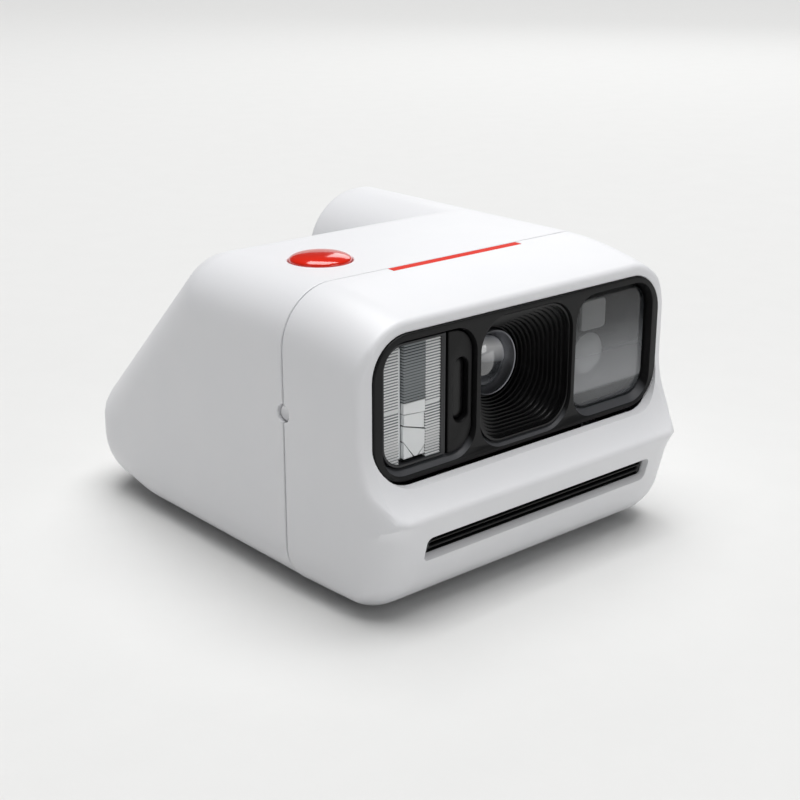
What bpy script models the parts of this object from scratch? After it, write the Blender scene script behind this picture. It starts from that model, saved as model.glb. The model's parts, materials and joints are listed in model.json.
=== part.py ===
"""Compact instant film camera, modelled as separate solids.

Lengths are in millimetres; MM turns them into Blender's metres.
Axes: +Z up, the lens looks along -Y, the viewfinder stands at +X.
The origin is the middle of the rectangle that the camera covers, on the surface it stands on.
The side, top, back and nose of the body are lofts of outlines worked out by side_half_width,
front_profile and rear_outline; everything else starts from primitives, curves and Screw profiles.
"""
import math

import bpy
import bmesh
from mathutils import Vector

MM = 0.001
GAP = 0.3                      # between touching pieces

# ---- body -----------------------------------------------------------------------------------
WIDTH = 84.0
LENGTH = 102.6
TOP_Z = 59.15                  # flat top of both shells
WALL = 2.0
TOP_SIDE_R = 11.3
BOTTOM_SIDE_R = 10.0
SEAM_Y = -23.35                # where the front and rear shells meet
NOSE_Y = -LENGTH / 2
NOSE_Z = 20.6
NOSE_R = 1.5
FACE_Y = -44.0                 # white rim round the lens panel
CHIN_TILT = 15.0               # degrees that the lower front leans back
CHIN_R = 12.5
SCOOP_R = 18.47
SCOOP_Z = 36.0
RIM_R = 1.6
HOOD_CURVE = 0.0069            # drop of the hood per square millimetre
HOOD_BACK_Y = SEAM_Y + 1.0     # where the hood becomes level
HOOD_FRONT_Y = -42.8
SIDE_TAPER = 1.15              # each side draws in by this from the seam to the face
CORNER_R = 8.5                 # plan radius of the chin's front corners
CREASE_R = 1.0

# ---- back -----------------------------------------------------------------------------------
BACK_Y = LENGTH / 2
SLOPE = 0.951                  # fall of the slanted back
SLOPE_TOP_Y = 10.9             # where it would meet the flat top
SHOULDER_R = 11.0
BACK_TOP_R = 10.0
BACK_BOTTOM_R = 13.0
BACK_SIDE_R = 12.0

# ---- viewfinder housing -----------------------------------------------------------------------
FINDER_X = 29.3
FINDER_R = 14.5
FINDER_BACK_Y = 43.6
FINDER_FILLET = 3.0
FINDER_EDGE_R = 2.0
EYE_X = 28.4
EYE_Z = 44.8
EYE_R = 9.0

# ---- lens panel and its windows ----------------------------------------------------------------
PANEL_Y = -44.35
PANEL_HALF = 37.8
PANEL_LOW = 26.0
PANEL_HIGH = 53.65
PANEL_R = 7.8
PANEL_DEPTH = 3.0
WINDOW_LOW = 28.3
WINDOW_HIGH = 52.1
WINDOW_IN = 13.5
WINDOW_OUT = 35.6
WINDOW_R = 5.0
HOOD_HALF = 12.0
HOOD_LOW = 27.9
HOOD_HIGH = 52.4
HOOD_R = 6.0
HOOD_DEPTH = 11.5
LENS_Z = 39.8
LENS_R = 4.6
LENS_RING_R = 6.5

# ---- print slot, film chamber and film door ----------------------------------------------------
SLOT_HALF = 30.15
SLOT_LOW = 12.5
SLOT_HIGH = 16.6
DOOR_HALF = 29.4
DOOR_FRONT_Y = -31.0
DOOR_BACK_Y = 36.6
DOOR_LIFT = 0.4
DOOR_THICK = 2.0
DOOR_PIN_Y = 35.2
DOOR_PIN_Z = 2.0
CHAMBER_HALF = 28.6
CHAMBER_FRONT_Y = -30.0
CHAMBER_BACK_Y = 31.0
CHAMBER_HIGH = 17.2
CHASSIS_WALL = 1.6
IMAGE_HALF = 23.5
IMAGE_FRONT_Y = -19.0
IMAGE_BACK_Y = 27.0

# ---- rollers and gears -------------------------------------------------------------------------
PRINT_Z = 15.0
ROLLER_Y = -40.6
ROLLER_R = 3.6
ROLLER_HALF = 30.0
AXLE_R = 1.2
BRACKET_X = 31.2
BRACKET_T = 1.2
GEAR_X = -36.2
GEAR_T = 2.4
MODULE = 0.39
ROLLER_TEETH = 20
IDLER_TEETH = 26
PINION_TEETH = 10
MOTOR_Y = -28.4
MOTOR_Z = 24.4
MOTOR_R = 4.6

# ---- controls ------------------------------------------------------------------------------------
SHUTTER_X = -21.9
SHUTTER_Y = -9.35
SHUTTER_R = 6.1
SHUTTER_DOME = 1.45
KEY_R = 3.4
KEY_DOWN_SLOPE = 13.0          # along the slanted back from its upper edge
POWER_X = -23.0
FLASH_KEY_X = -11.0
COUNTER_X = 3.0
COUNTER_HALF = (4.4, 3.0)
LATCH_Y = -4.0
LATCH_Z = 20.0
LUG_Z = 36.0
LUG_R = 1.8
LUG_X = 41.4
SWITCH_HALF = 3.0
SWITCH_LOW = 48.9
SWITCH_HIGH = 52.5
STATUS_X = -17.0
STATUS_R = 0.6

# ---- strip printed on the hood --------------------------------------------------------------------
STRIP_HALF = 16.9
STRIP_WIDTH = 1.5
STRIP_POCKET = 0.6

# ---- flash, light sensor and its cover -------------------------------------------------------------
SPLIT_X = -20.0                # between the flash window and the cell cover
PILL_X = -16.5                 # the long hole over the light sensor
PILL_R = 1.9
PILL_HALF = 6.2
SENSOR_HALF = 1.5
REFLECTOR_LOW = (-34.6, PANEL_Y + 3.4, 29.3)
REFLECTOR_HIGH = (-20.5, PANEL_Y + 10.5, 51.1)
REFLECTOR_WALL = 0.8
TUBE_AT = (-27.5, PANEL_Y + 7.4, 40.2)
TUBE_R = 1.3
TUBE_LENGTH = 19.0

# ---- lens and shutter ------------------------------------------------------------------------------
HOOD_BACK_HALF = 9.0
HOOD_EDGE = 1.0
HOOD_STEPS = 6
BLADE_PIN_X = 6.4
BLADE_PIN_DROP = 6.0           # below the lens axis
BLADE_PIN_R = 0.5
BLADE_LEAN_X = 4.6             # a closed blade's tip from its pin, towards the middle
BLADE_TIP_R = 3.0
BLADE_ROOT_R = 1.6
BLADE_BORE_R = 0.8
BLADE_T = 0.3
SHUTTER_BORE_R = 3.3
SHUTTER_PLATE_T = 0.8
MOUNT_R = 6.4
MOUNT_BORE_R = 4.3
MOUNT_HALF = 1.6
REAR_LENS_SHARE = 0.85         # rear lens radius over front lens radius
BLADE_MOTOR_X = 12.4
BLADE_MOTOR_R = 2.4

# ---- viewfinder ------------------------------------------------------------------------------------
TUNNEL_LOW = (21.7, PANEL_Y + 3.4, 38.2)
TUNNEL_HIGH = (35.3, FINDER_BACK_Y - 5.0, 51.4)
TUNNEL_WALL = 0.9
EYE_LENS_R = 5.0

# ---- film door, chassis and mirror box ---------------------------------------------------------------
DOOR_PIN_R = 0.7
DOOR_NOTCH = 2.2
SCREW_PLACES = [(-33.8, -14.0), (33.8, -14.0), (-33.8, 27.0), (33.8, 27.0)]
SCREW_HEAD_R = 1.45
SCREW_R = 0.7
BOSS_HALF = 2.4
BOSS_OUT = 35.9
PRINT_HALF = 27.4              # half the print's path
MIRROR_DROP = 11.0             # of the mirror box below the slanted back
MIRROR_Y = 21.0
MIRROR_SIZE = (29.0, 31.0, 1.2)
MIRROR_WINDOW = (26.0, 28.0, 4.0)

# ---- electronics ----------------------------------------------------------------------------------
BOARD_LOW = (-36.0, -21.5, 47.4)
BOARD_HIGH = (-17.6, 14.0, 48.6)
CAPACITOR_AT = (-25.6, -2.5, 41.8)
CAPACITOR_R = 4.5
CAPACITOR_LENGTH = 31.0
BATTERY_LOW = (-38.2, -15.0, 20.0)
BATTERY_HIGH = (-31.4, 19.0, 41.0)
USB_LOW = (34.4, 20.6, 22.5)
USB_HIGH = (41.2, 29.4, 25.5)
USB_WALL = 0.5
PICK_LOW = (30.5, -28.0, 10.0)
PICK_HIGH = (31.0, -2.0, 14.0)

# ---- drive details ---------------------------------------------------------------------------------
AXLE_RIGHT = 35.0
AXLE_LEFT = 37.6
IDLER_BORE_R = 1.1
IDLER_PIN_R = 0.8
SHAFT_R = 0.6
SHAFT_BORE_R = 0.9
MOTOR_FACE_X = -30.6
MOTOR_LENGTH = 16.6
SPRING_X = 33.8


# ---- small tools ---------------------------------------------------------------------------------
def clear_scene():
    for item in list(bpy.data.objects):
        bpy.data.objects.remove(item, do_unlink=True)


def new_collection(name):
    group = bpy.data.collections.new(name)
    bpy.context.scene.collection.children.link(group)
    return group


def finish_material(name, rgb, roughness, metallic=0.0):
    mat = bpy.data.materials.new(name)
    mat.use_nodes = True
    shader = mat.node_tree.nodes["Principled BSDF"]
    shader.inputs["Base Color"].default_value = (*rgb, 1.0)
    shader.inputs["Roughness"].default_value = roughness
    shader.inputs["Metallic"].default_value = metallic
    mat.diffuse_color = (*rgb, 1.0)
    return mat


def place(name, mesh, mat, group, at=(0, 0, 0), turn=(0, 0, 0)):
    """Link a mesh as an object; at is in millimetres, turn in degrees."""
    mesh.materials.clear()
    if mat:
        mesh.materials.append(mat)
    item = bpy.data.objects.new(name, mesh)
    item.location = Vector(at) * MM
    item.rotation_euler = [math.radians(a) for a in turn]
    group.objects.link(item)
    return item


def mesh_from(build, name):
    """A mesh filled by build(bm), with its faces pointing out."""
    bm = bmesh.new()
    build(bm)
    bmesh.ops.recalc_face_normals(bm, faces=bm.faces)
    mesh = bpy.data.meshes.new(name)
    bm.to_mesh(mesh)
    bm.free()
    return mesh


def box_mesh(name, size, centre=(0, 0, 0)):
    def build(bm):
        bmesh.ops.create_cube(bm, size=1.0)
        bmesh.ops.scale(bm, vec=Vector(size) * MM, verts=bm.verts)
        bmesh.ops.translate(bm, vec=Vector(centre) * MM, verts=bm.verts)
    return mesh_from(build, name)


def span_box(name, low, high, mat, group, bevel=0.0, origin=None):
    """A box between two corners, placed about its middle or about a given origin."""
    size = [b - a for a, b in zip(low, high)]
    middle = [(a + b) / 2 for a, b in zip(low, high)]
    at = origin if origin else middle
    item = place(name, box_mesh(name, size, [m - a for m, a in zip(middle, at)]), mat, group, at)
    if bevel:
        add_bevel(item, bevel)
    return item


def add_bevel(item, width, segments=2):
    mod = item.modifiers.new("edges", "BEVEL")
    mod.width = width * MM
    mod.segments = segments
    mod.limit_method = "ANGLE"
    mod.angle_limit = math.radians(40)


def cylinder_mesh(name, radius, length, sides=24, top_radius=None):
    def build(bm):
        bmesh.ops.create_cone(bm, cap_ends=True, segments=sides, radius1=radius * MM,
                              radius2=(radius if top_radius is None else top_radius) * MM,
                              depth=length * MM)
    return mesh_from(build, name)


AXIS_TURN = {"X": (0, 90, 0), "Y": (-90, 0, 0), "Z": (0, 0, 0)}


def rod(name, axis, centre, radius, length, mat, group, sides=24):
    return place(name, cylinder_mesh(name, radius, length, sides), mat, group, centre, AXIS_TURN[axis])


def turned(name, profile, mat, group, at, turn=(0, 0, 0), steps=28):
    """A closed (radius, height) profile turned about Z; it runs down its outer side."""
    def build(bm):
        ring = [bm.verts.new((r * MM, 0, h * MM)) for r, h in profile]
        for a, b in zip(ring, ring[1:] + ring[:1]):
            bm.edges.new((a, b))
    bm = bmesh.new()
    build(bm)
    mesh = bpy.data.meshes.new(name)
    bm.to_mesh(mesh)
    bm.free()
    item = place(name, mesh, mat, group, at, turn)
    mod = item.modifiers.new("turn", "SCREW")
    mod.steps = steps
    mod.render_steps = steps
    mod.use_merge_vertices = True
    mod.merge_threshold = 0.00002
    return item


def rounded_rect(half_x, low, high, radius, steps=5):
    """Points of a rounded rectangle, anticlockwise, centred on x = 0."""
    points = []
    for cx, cy, start in ((half_x - radius, high - radius, 0), (radius - half_x, high - radius, 90),
                          (radius - half_x, low + radius, 180), (half_x - radius, low + radius, 270)):
        points += arc(cx, cy, radius, start, start + 90, steps)
    return points


def arc(cx, cy, radius, start, end, steps):
    angles = [math.radians(start + (end - start) * i / steps) for i in range(steps + 1)]
    return [(cx + radius * math.cos(a), cy + radius * math.sin(a)) for a in angles]


def circle(cx, cy, radius, sides=24):
    return arc(cx, cy, radius, 0, 360, sides)[:-1]


def shifted(points, dx=0.0, dy=0.0):
    return [(x + dx, y + dy) for x, y in points]


def flat_plate(name, outlines, thickness, mat, group, at=(0, 0, 0), turn=(0, 0, 0)):
    """A flat piece from closed outlines (the later ones are holes), as a welded mesh."""
    curve = bpy.data.curves.new(name + "_outline", "CURVE")
    curve.dimensions = "2D"
    curve.fill_mode = "BOTH"
    curve.extrude = thickness / 2 * MM
    for outline in outlines:
        spline = curve.splines.new("POLY")
        spline.points.add(len(outline) - 1)
        for point, (x, y) in zip(spline.points, outline):
            point.co = (x * MM, y * MM, 0, 1)
        spline.use_cyclic_u = True
    guide = bpy.data.objects.new(name + "_guide", curve)
    bpy.context.scene.collection.objects.link(guide)
    depsgraph = bpy.context.evaluated_depsgraph_get()
    mesh = bpy.data.meshes.new_from_object(guide.evaluated_get(depsgraph))
    bpy.data.objects.remove(guide, do_unlink=True)
    weld(mesh)
    return place(name, mesh, mat, group, at, turn)


FRONT_TURN = (90, 0, 0)        # a plate's outline stands in XZ, its upper face looks along -Y


def weld(mesh):
    bm = bmesh.new()
    bm.from_mesh(mesh)
    bmesh.ops.remove_doubles(bm, verts=bm.verts, dist=0.000001)
    bmesh.ops.recalc_face_normals(bm, faces=bm.faces)
    bm.to_mesh(mesh)
    bm.free()


def loft_mesh(name, rings):
    """A closed solid through rings of equal length, capped at both ends."""
    def build(bm):
        rows = [[bm.verts.new(Vector(p) * MM) for p in ring] for ring in rings]
        for lower, upper in zip(rows, rows[1:]):
            for i in range(len(lower)):
                j = (i + 1) % len(lower)
                bm.faces.new((lower[i], lower[j], upper[j], upper[i]))
        bm.faces.new(rows[0])
        bm.faces.new(rows[-1])
        bmesh.ops.remove_doubles(bm, verts=bm.verts, dist=0.00001)
    return mesh_from(build, name)


def cut(item, cutter, operation="DIFFERENCE"):
    mod = item.modifiers.new(cutter.name, "BOOLEAN")
    mod.operation = operation
    mod.object = cutter
    mod.solver = "EXACT"


def as_cutter(item):
    item.hide_render = True
    item.display_type = "WIRE"
    return item


def slope_z(y):
    return TOP_Z - SLOPE * (y - SLOPE_TOP_Y)


SLOPE_ANGLE = math.degrees(math.atan(SLOPE))
SLOPE_COS = math.cos(math.radians(SLOPE_ANGLE))
SLOPE_SIN = math.sin(math.radians(SLOPE_ANGLE))


def on_slope(x, along, above=0.0):
    """A point on the slanted back: along runs down it from its upper edge, above stands off it."""
    y = SLOPE_TOP_Y + along * SLOPE_COS + above * SLOPE_SIN
    z = TOP_Z - along * SLOPE_SIN + above * SLOPE_COS
    return (x, y, z)


SLOPE_TURN = (-SLOPE_ANGLE, 0, 0)


# ---- outlines of the body --------------------------------------------------------------------------
def side_half_width(z, inset=0.0):
    """Half the body's width at a height, with its rounded upper and lower side edges."""
    half = WIDTH / 2 - inset
    top = TOP_Z - inset
    top_r = TOP_SIDE_R - inset
    low_r = BOTTOM_SIDE_R - inset
    if z > top - top_r:
        return half - top_r + math.sqrt(max(0.0, top_r ** 2 - (z - top + top_r) ** 2))
    if z < inset + low_r:
        return half - low_r + math.sqrt(max(0.0, low_r ** 2 - (z - inset - low_r) ** 2))
    return half


CHIN_Y = NOSE_Y + NOSE_R + (NOSE_Z - CHIN_R) * math.tan(math.radians(CHIN_TILT))
CHIN_Y += (CHIN_R - NOSE_R) / math.cos(math.radians(CHIN_TILT))


def hood_z(y, inset=0.0):
    return TOP_Z - inset - HOOD_CURVE * max(0.0, HOOD_BACK_Y - y) ** 2


def hood_points(start_y, steps, inset=0.0):
    """Points along the hood from start_y back to the seam."""
    ys = [start_y + (SEAM_Y - start_y) * i / steps for i in range(1, steps + 1)]
    return [(y, hood_z(y, inset)) for y in ys[:-1]] + [(SEAM_Y, TOP_Z - inset)]


def front_profile(steps):
    """The nose of the body in the middle plane, as (y, z) from the underside up to the seam."""
    scoop_angle = math.degrees(math.asin((SCOOP_Z - NOSE_Z - NOSE_R * 0.77) / SCOOP_R))
    rim_angle = math.degrees(math.atan(2 * HOOD_CURVE * (HOOD_BACK_Y - HOOD_FRONT_Y)))
    rim_z = hood_z(HOOD_FRONT_Y) - RIM_R * math.cos(math.radians(rim_angle))
    points = arc(CHIN_Y, CHIN_R, CHIN_R, -90, -180 + CHIN_TILT, steps)
    points += arc(NOSE_Y + NOSE_R, NOSE_Z, NOSE_R, -180 + CHIN_TILT, -180 - scoop_angle, 3)
    points += arc(FACE_Y - SCOOP_R, SCOOP_Z, SCOOP_R, -scoop_angle, 0, steps)[1:]
    points += arc(FACE_Y + RIM_R, rim_z, RIM_R, 180, 90 + rim_angle, 3)
    return points + hood_points(HOOD_FRONT_Y, steps)


def front_cavity_profile(steps):
    """The inside of the nose, one wall in from front_profile."""
    points = arc(CHIN_Y, CHIN_R, CHIN_R - WALL, -90, -180 + CHIN_TILT, steps)
    points += [(NOSE_Y + WALL + 1.0, NOSE_Z - 1.5), (FACE_Y + WALL, SCOOP_Z - 5.0)]
    points += [(FACE_Y + WALL, hood_z(FACE_Y, WALL) - 1.0)]
    return points + hood_points(FACE_Y + WALL + 0.8, steps, WALL)


def front_section(y, z, inset, back_y):
    """Half a level section of the front, as (x, y) from the middle line round to back_y."""
    half = side_half_width(z, inset)
    corner_r = CORNER_R - inset
    corner_y = NOSE_Y + CORNER_R
    corner_x = half - SIDE_TAPER - corner_r
    crease = CREASE_R + 0.3 * max(0.0, y - FACE_Y)
    crease = min(crease, 0.9 * (back_y - y), half * 0.6)
    reach = corner_y - y - crease
    if crease <= 0.0:
        fillet = [(half, back_y)] * 5
        sweep = []
    elif reach > 0.0:
        middle_x = corner_x + math.sqrt(max(0.0, (corner_r - crease) ** 2 - reach ** 2))
        lean = math.degrees(math.atan2(-reach, middle_x - corner_x))
        fillet = arc(middle_x, y + crease, crease, -90, lean, 4)
        sweep = arc(corner_x, corner_y, corner_r, lean, 0, 4)[1:]
    else:
        edge = half - SIDE_TAPER * max(0.0, SEAM_Y - y - crease) / (SEAM_Y - corner_y)
        fillet = arc(edge - crease, y + crease, crease, -90, 0, 4)
        sweep = []
    sweep += [fillet[-1]] * (4 - len(sweep))
    line = [(fillet[0][0] * i / 3, y) for i in range(3)]
    end_x, end_y = sweep[-1]
    seam_y = max(end_y, SEAM_Y)
    side = [(end_x + (half - end_x) * i / 3, end_y + (seam_y - end_y) * i / 3) for i in (1, 2, 3)]
    return line + fillet + sweep + side + [(half, back_y)]


def front_solid(name, profile, inset, back_y):
    """The nose as one solid from its level sections, closed underneath and at back_y."""
    if back_y > SEAM_Y:
        profile = profile + [(back_y, TOP_Z - inset)]
    rings = []
    for y, z in profile:
        half = front_section(y, z, inset, back_y)
        mirrored = [(-x, level_y) for x, level_y in reversed(half[1:])]
        rings.append([(x, level_y, z) for x, level_y in mirrored + half])

    def build(bm):
        rows = [[bm.verts.new(Vector(p) * MM) for p in ring] for ring in rings]
        for lower, upper in zip(rows, rows[1:]):
            for i in range(len(lower) - 1):
                bm.faces.new((lower[i], lower[i + 1], upper[i + 1], upper[i]))
        bm.faces.new(rows[0])
        left = [row[0] for row in rows]
        right = [row[-1] for row in rows]
        bm.faces.new(left + rows[-1][1:-1] + right[::-1])
        bmesh.ops.remove_doubles(bm, verts=bm.verts, dist=0.00001)
        bmesh.ops.dissolve_degenerate(bm, dist=0.000005, edges=bm.edges)
    return mesh_from(build, name)


def rear_outline(inset=0.0):
    """The back of the body in the middle plane: top height and floor height for a given y."""
    bend = math.radians(SLOPE_ANGLE)
    shoulder_start = SLOPE_TOP_Y - SHOULDER_R * math.tan(bend / 2)
    shoulder_end = shoulder_start + SHOULDER_R * math.sin(bend)
    heel = BACK_TOP_R * (1 - math.sin(bend))
    heel_y = BACK_Y - heel
    heel_z = slope_z(heel_y)

    def top(y):
        if y <= shoulder_start:
            return TOP_Z - inset
        if y < shoulder_end:
            drop = SHOULDER_R - math.sqrt(SHOULDER_R ** 2 - (y - shoulder_start) ** 2)
            return TOP_Z - drop - inset / math.cos(bend * (y - shoulder_start) / SHOULDER_R)
        if y < heel_y or inset:
            return slope_z(y) - inset / math.cos(bend)
        centre_z = heel_z - BACK_TOP_R * math.cos(bend)
        return centre_z + math.sqrt(max(0.0, BACK_TOP_R ** 2 - (y - BACK_Y + BACK_TOP_R) ** 2))

    def floor(y):
        start = BACK_Y - BACK_BOTTOM_R
        if y <= start:
            return inset
        radius = BACK_BOTTOM_R - inset
        return BACK_BOTTOM_R - math.sqrt(max(0.0, radius ** 2 - (y - start) ** 2))

    return top, floor


def rear_half_width(y, inset=0.0):
    start = BACK_Y - BACK_SIDE_R
    radius = BACK_SIDE_R - inset
    if y <= start:
        return WIDTH / 2 - inset
    return WIDTH / 2 - BACK_SIDE_R + math.sqrt(max(0.0, radius ** 2 - (y - start) ** 2))


def finder_points(top, start_x, inset):
    """The viewfinder housing over a back whose top is at a given height, left to right."""
    radius = FINDER_R - inset
    centre_z = TOP_Z - FINDER_R
    fillet = FINDER_FILLET + inset
    rise = max(0.0, top + fillet - centre_z)
    foot_x = FINDER_X - math.sqrt(max(0.0, (radius + fillet) ** 2 - rise ** 2))
    lean = math.degrees(math.atan2(rise, FINDER_X - foot_x))
    points = [(start_x + (foot_x - start_x) * i / 4, top) for i in range(1, 4)]
    points += arc(foot_x, top + fillet, fillet, -90, -lean, 4)
    points += arc(FINDER_X, centre_z, radius, 180 - lean, 90, 7)
    return points + arc(WIDTH / 2 - TOP_SIDE_R, TOP_Z - TOP_SIDE_R, TOP_SIDE_R - inset, 90, 0, 6)


def rear_section(y, inset, finder_inset):
    """One closed upright section of the back, as (x, z); finder_inset None leaves the housing out."""
    top_at, floor_at = rear_outline(inset)
    top = top_at(y)
    low = floor_at(y)
    half = rear_half_width(y, inset)
    height = top - low
    top_r = min(TOP_SIDE_R - inset, 0.53 * height)
    low_r = min(BOTTOM_SIDE_R - inset, 0.46 * height)
    points = arc(low_r - half, low + low_r, low_r, 270, 180, 4)
    points += arc(top_r - half, top - top_r, top_r, 180, 90, 6)
    housing = finder_points(top, top_r - half, 0.0 if finder_inset is None else finder_inset)
    if finder_inset is None:
        right_x = half - top_r
        points += [(min(x, right_x), top) for x, _ in housing[:-7]]
        points += arc(right_x, top - top_r, top_r, 90, 0, 6)
    else:
        points += housing
    points += arc(half - low_r, low + low_r, low_r, 0, -90, 4)
    return points


def rear_solid(name, inset, front_y, steps):
    """The back of the body with its viewfinder housing, as one loft along Y."""
    end_y = BACK_Y - inset
    finder_end = FINDER_BACK_Y - inset
    ys = [front_y]
    shoulder = SLOPE_TOP_Y - 5.0
    ys += [shoulder + (FINDER_BACK_Y - FINDER_EDGE_R - shoulder - inset) * i / steps
           for i in range(steps + 1)]
    rings = [(y, rear_section(y, inset, inset)) for y in ys]
    for i in (1, 2, 3):
        a = math.radians(30 * i)
        y = finder_end - FINDER_EDGE_R * (1 - math.sin(a))
        rings.append((y, rear_section(y, inset, inset + FINDER_EDGE_R * (1 - math.cos(a)))))
    rings.append((finder_end, rear_section(finder_end, inset, None)))
    for i in range(1, steps + 1):
        a = math.radians(90 * i / steps)
        y = finder_end + (end_y - finder_end) * math.sin(a)
        rings.append((y, rear_section(y, inset, None)))
    return loft_mesh(name, [[(x, y, z) for x, z in ring] for y, ring in rings])


# ---- groups of parts ---------------------------------------------------------------------------------
class Kit:
    """The collections and finishes that every part draws on."""

    def __init__(self):
        self.parts = new_collection("instant_camera")
        self.cutters = new_collection("cutters")
        self.white = finish_material("white_shell", (0.86, 0.86, 0.87), 0.42)
        self.black = finish_material("black_panel", (0.018, 0.018, 0.02), 0.32)
        self.dark = finish_material("dark_inner", (0.03, 0.03, 0.032), 0.6)
        self.red = finish_material("red_button", (0.75, 0.045, 0.012), 0.16)
        self.clear = finish_material("clear_window", (0.75, 0.78, 0.8), 0.05)
        self.glass = finish_material("lens_glass", (0.45, 0.48, 0.5), 0.03)
        self.steel = finish_material("bright_steel", (0.62, 0.62, 0.63), 0.25, 1.0)
        self.silver = finish_material("silvered", (0.85, 0.85, 0.86), 0.1, 1.0)
        self.rubber = finish_material("roller_rubber", (0.05, 0.05, 0.05), 0.7)
        self.gear = finish_material("gear_plastic", (0.8, 0.79, 0.72), 0.45)
        self.board = finish_material("circuit_board", (0.02, 0.16, 0.06), 0.4)
        self.cell = finish_material("battery_wrap", (0.12, 0.2, 0.42), 0.4)
        self.can = finish_material("capacitor_sleeve", (0.05, 0.05, 0.07), 0.3)

    def box_cutter(self, name, low, high):
        return as_cutter(span_box(name, low, high, None, self.cutters))

    def rod_cutter(self, name, axis, centre, radius, length, sides=24):
        return as_cutter(rod(name, axis, centre, radius, length, None, self.cutters, sides))

    def plate_cutter(self, name, outline, depth, at, turn):
        return as_cutter(flat_plate(name, [outline], depth, None, self.cutters, at, turn))


def panel_outline(grow=0.0):
    return rounded_rect(PANEL_HALF + grow, PANEL_LOW - grow, PANEL_HIGH + grow, PANEL_R + grow)


def window_outline(side, shrink=0.0, inner=WINDOW_IN, outer=WINDOW_OUT):
    half = (outer - inner) / 2 - shrink
    outline = rounded_rect(half, WINDOW_LOW + shrink, WINDOW_HIGH - shrink, WINDOW_R - shrink)
    return shifted(outline, side * (inner + outer) / 2)


def build_front_shell(kit):
    shell = place("front_shell", front_solid("front_shell", front_profile(6), 0.0, SEAM_Y),
                  kit.white, kit.parts)
    cavity = front_solid("front_cavity", front_cavity_profile(4), WALL, SEAM_Y + 2.0)
    cut(shell, as_cutter(place("front_cavity", cavity, None, kit.cutters)))
    cut(shell, kit.plate_cutter("panel_opening", panel_outline(GAP), 16.0,
                                (0, PANEL_Y - 2.0, 0), FRONT_TURN))
    slot = rounded_rect(SLOT_HALF, SLOT_LOW, SLOT_HIGH, 1.2, 3)
    cut(shell, kit.plate_cutter("slot_opening", slot, 8.0, (0, NOSE_Y + 3.0, 0), FRONT_TURN))
    cut(shell, kit.box_cutter("door_opening_front", (-DOOR_HALF - GAP, DOOR_FRONT_Y - GAP, -1.0),
                              (DOOR_HALF + GAP, SEAM_Y + 1.0, WALL + 0.6)))
    pocket_half = STRIP_HALF + 0.1
    pocket_low = (-pocket_half, SEAM_Y - STRIP_WIDTH - 0.1, TOP_Z - STRIP_POCKET)
    cut(shell, kit.box_cutter("strip_pocket", pocket_low, (pocket_half, SEAM_Y + 0.2, TOP_Z + 1.0)))
    cut_lug_holes(kit, shell)
    span_box("accent_strip", (-STRIP_HALF, SEAM_Y - STRIP_WIDTH, TOP_Z - 0.45),
             (STRIP_HALF, SEAM_Y - 0.02, TOP_Z - 0.03), kit.red, kit.parts)


def cut_lug_holes(kit, shell):
    for side, word in ((-1, "left"), (1, "right")):
        name = f"{shell.name}_lug_hole_{word}"
        hole_at = (side * (LUG_X - 0.4), SEAM_Y + GAP / 2, LUG_Z)
        cut(shell, kit.rod_cutter(name, "X", hole_at, LUG_R, 6.0, 20))


def build_rear_shell(kit):
    shell = place("rear_shell", rear_solid("rear_shell", 0.0, SEAM_Y + GAP, 6), kit.white, kit.parts)
    cavity = place("rear_cavity", rear_solid("rear_cavity", WALL, SEAM_Y - 2.0, 4), None, kit.cutters)
    cut(shell, as_cutter(cavity))
    cut(shell, kit.box_cutter("door_opening_rear", (-DOOR_HALF - GAP, SEAM_Y - 1.0, -1.0),
                              (DOOR_HALF + GAP, DOOR_BACK_Y + 0.7, WALL + 0.6)))
    shutter_at = (SHUTTER_X, SHUTTER_Y, TOP_Z)
    cut(shell, kit.rod_cutter("shutter_hole", "Z", shutter_at, SHUTTER_R + GAP, 8.0, 32))
    cut(shell, kit.rod_cutter("eyepiece_hole", "Y", (EYE_X, FINDER_BACK_Y, EYE_Z), EYE_R - 1.8, 8.0, 32))
    for name, x in (("power", POWER_X), ("flash", FLASH_KEY_X)):
        hole = cylinder_mesh(f"{name}_hole", KEY_R + GAP, 9.0, 24)
        cut(shell, as_cutter(place(f"{name}_hole", hole, None, kit.cutters,
                                   on_slope(x, KEY_DOWN_SLOPE), SLOPE_TURN)))
    half_x, half_y = COUNTER_HALF
    window = box_mesh("counter_hole", (2 * (half_x + GAP), 2 * (half_y + GAP), 9.0))
    cut(shell, as_cutter(place("counter_hole", window, None, kit.cutters,
                               on_slope(COUNTER_X, KEY_DOWN_SLOPE), SLOPE_TURN)))
    cut(shell, kit.box_cutter("usb_hole", (38.0, USB_LOW[1] - 0.4, USB_LOW[2] - 0.4),
                              (43.0, USB_HIGH[1] + 0.4, USB_HIGH[2] + 0.4)))
    cut(shell, kit.box_cutter("latch_window", (38.0, LATCH_Y - 7.3, LATCH_Z - 3.3),
                              (43.0, LATCH_Y + 6.3, LATCH_Z + 3.3)))
    hole = cylinder_mesh("light_hole", STATUS_R + GAP, 9.0, 16)
    cut(shell, as_cutter(place("light_hole", hole, None, kit.cutters,
                               on_slope(STATUS_X, KEY_DOWN_SLOPE), SLOPE_TURN)))
    for i, (x, y) in enumerate(SCREW_PLACES):
        cut(shell, kit.rod_cutter(f"screw_hole_{i + 1}", "Z", (x, y, 1.0), SCREW_HEAD_R + 0.35, 6.0, 16))
    cut_lug_holes(kit, shell)


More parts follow.
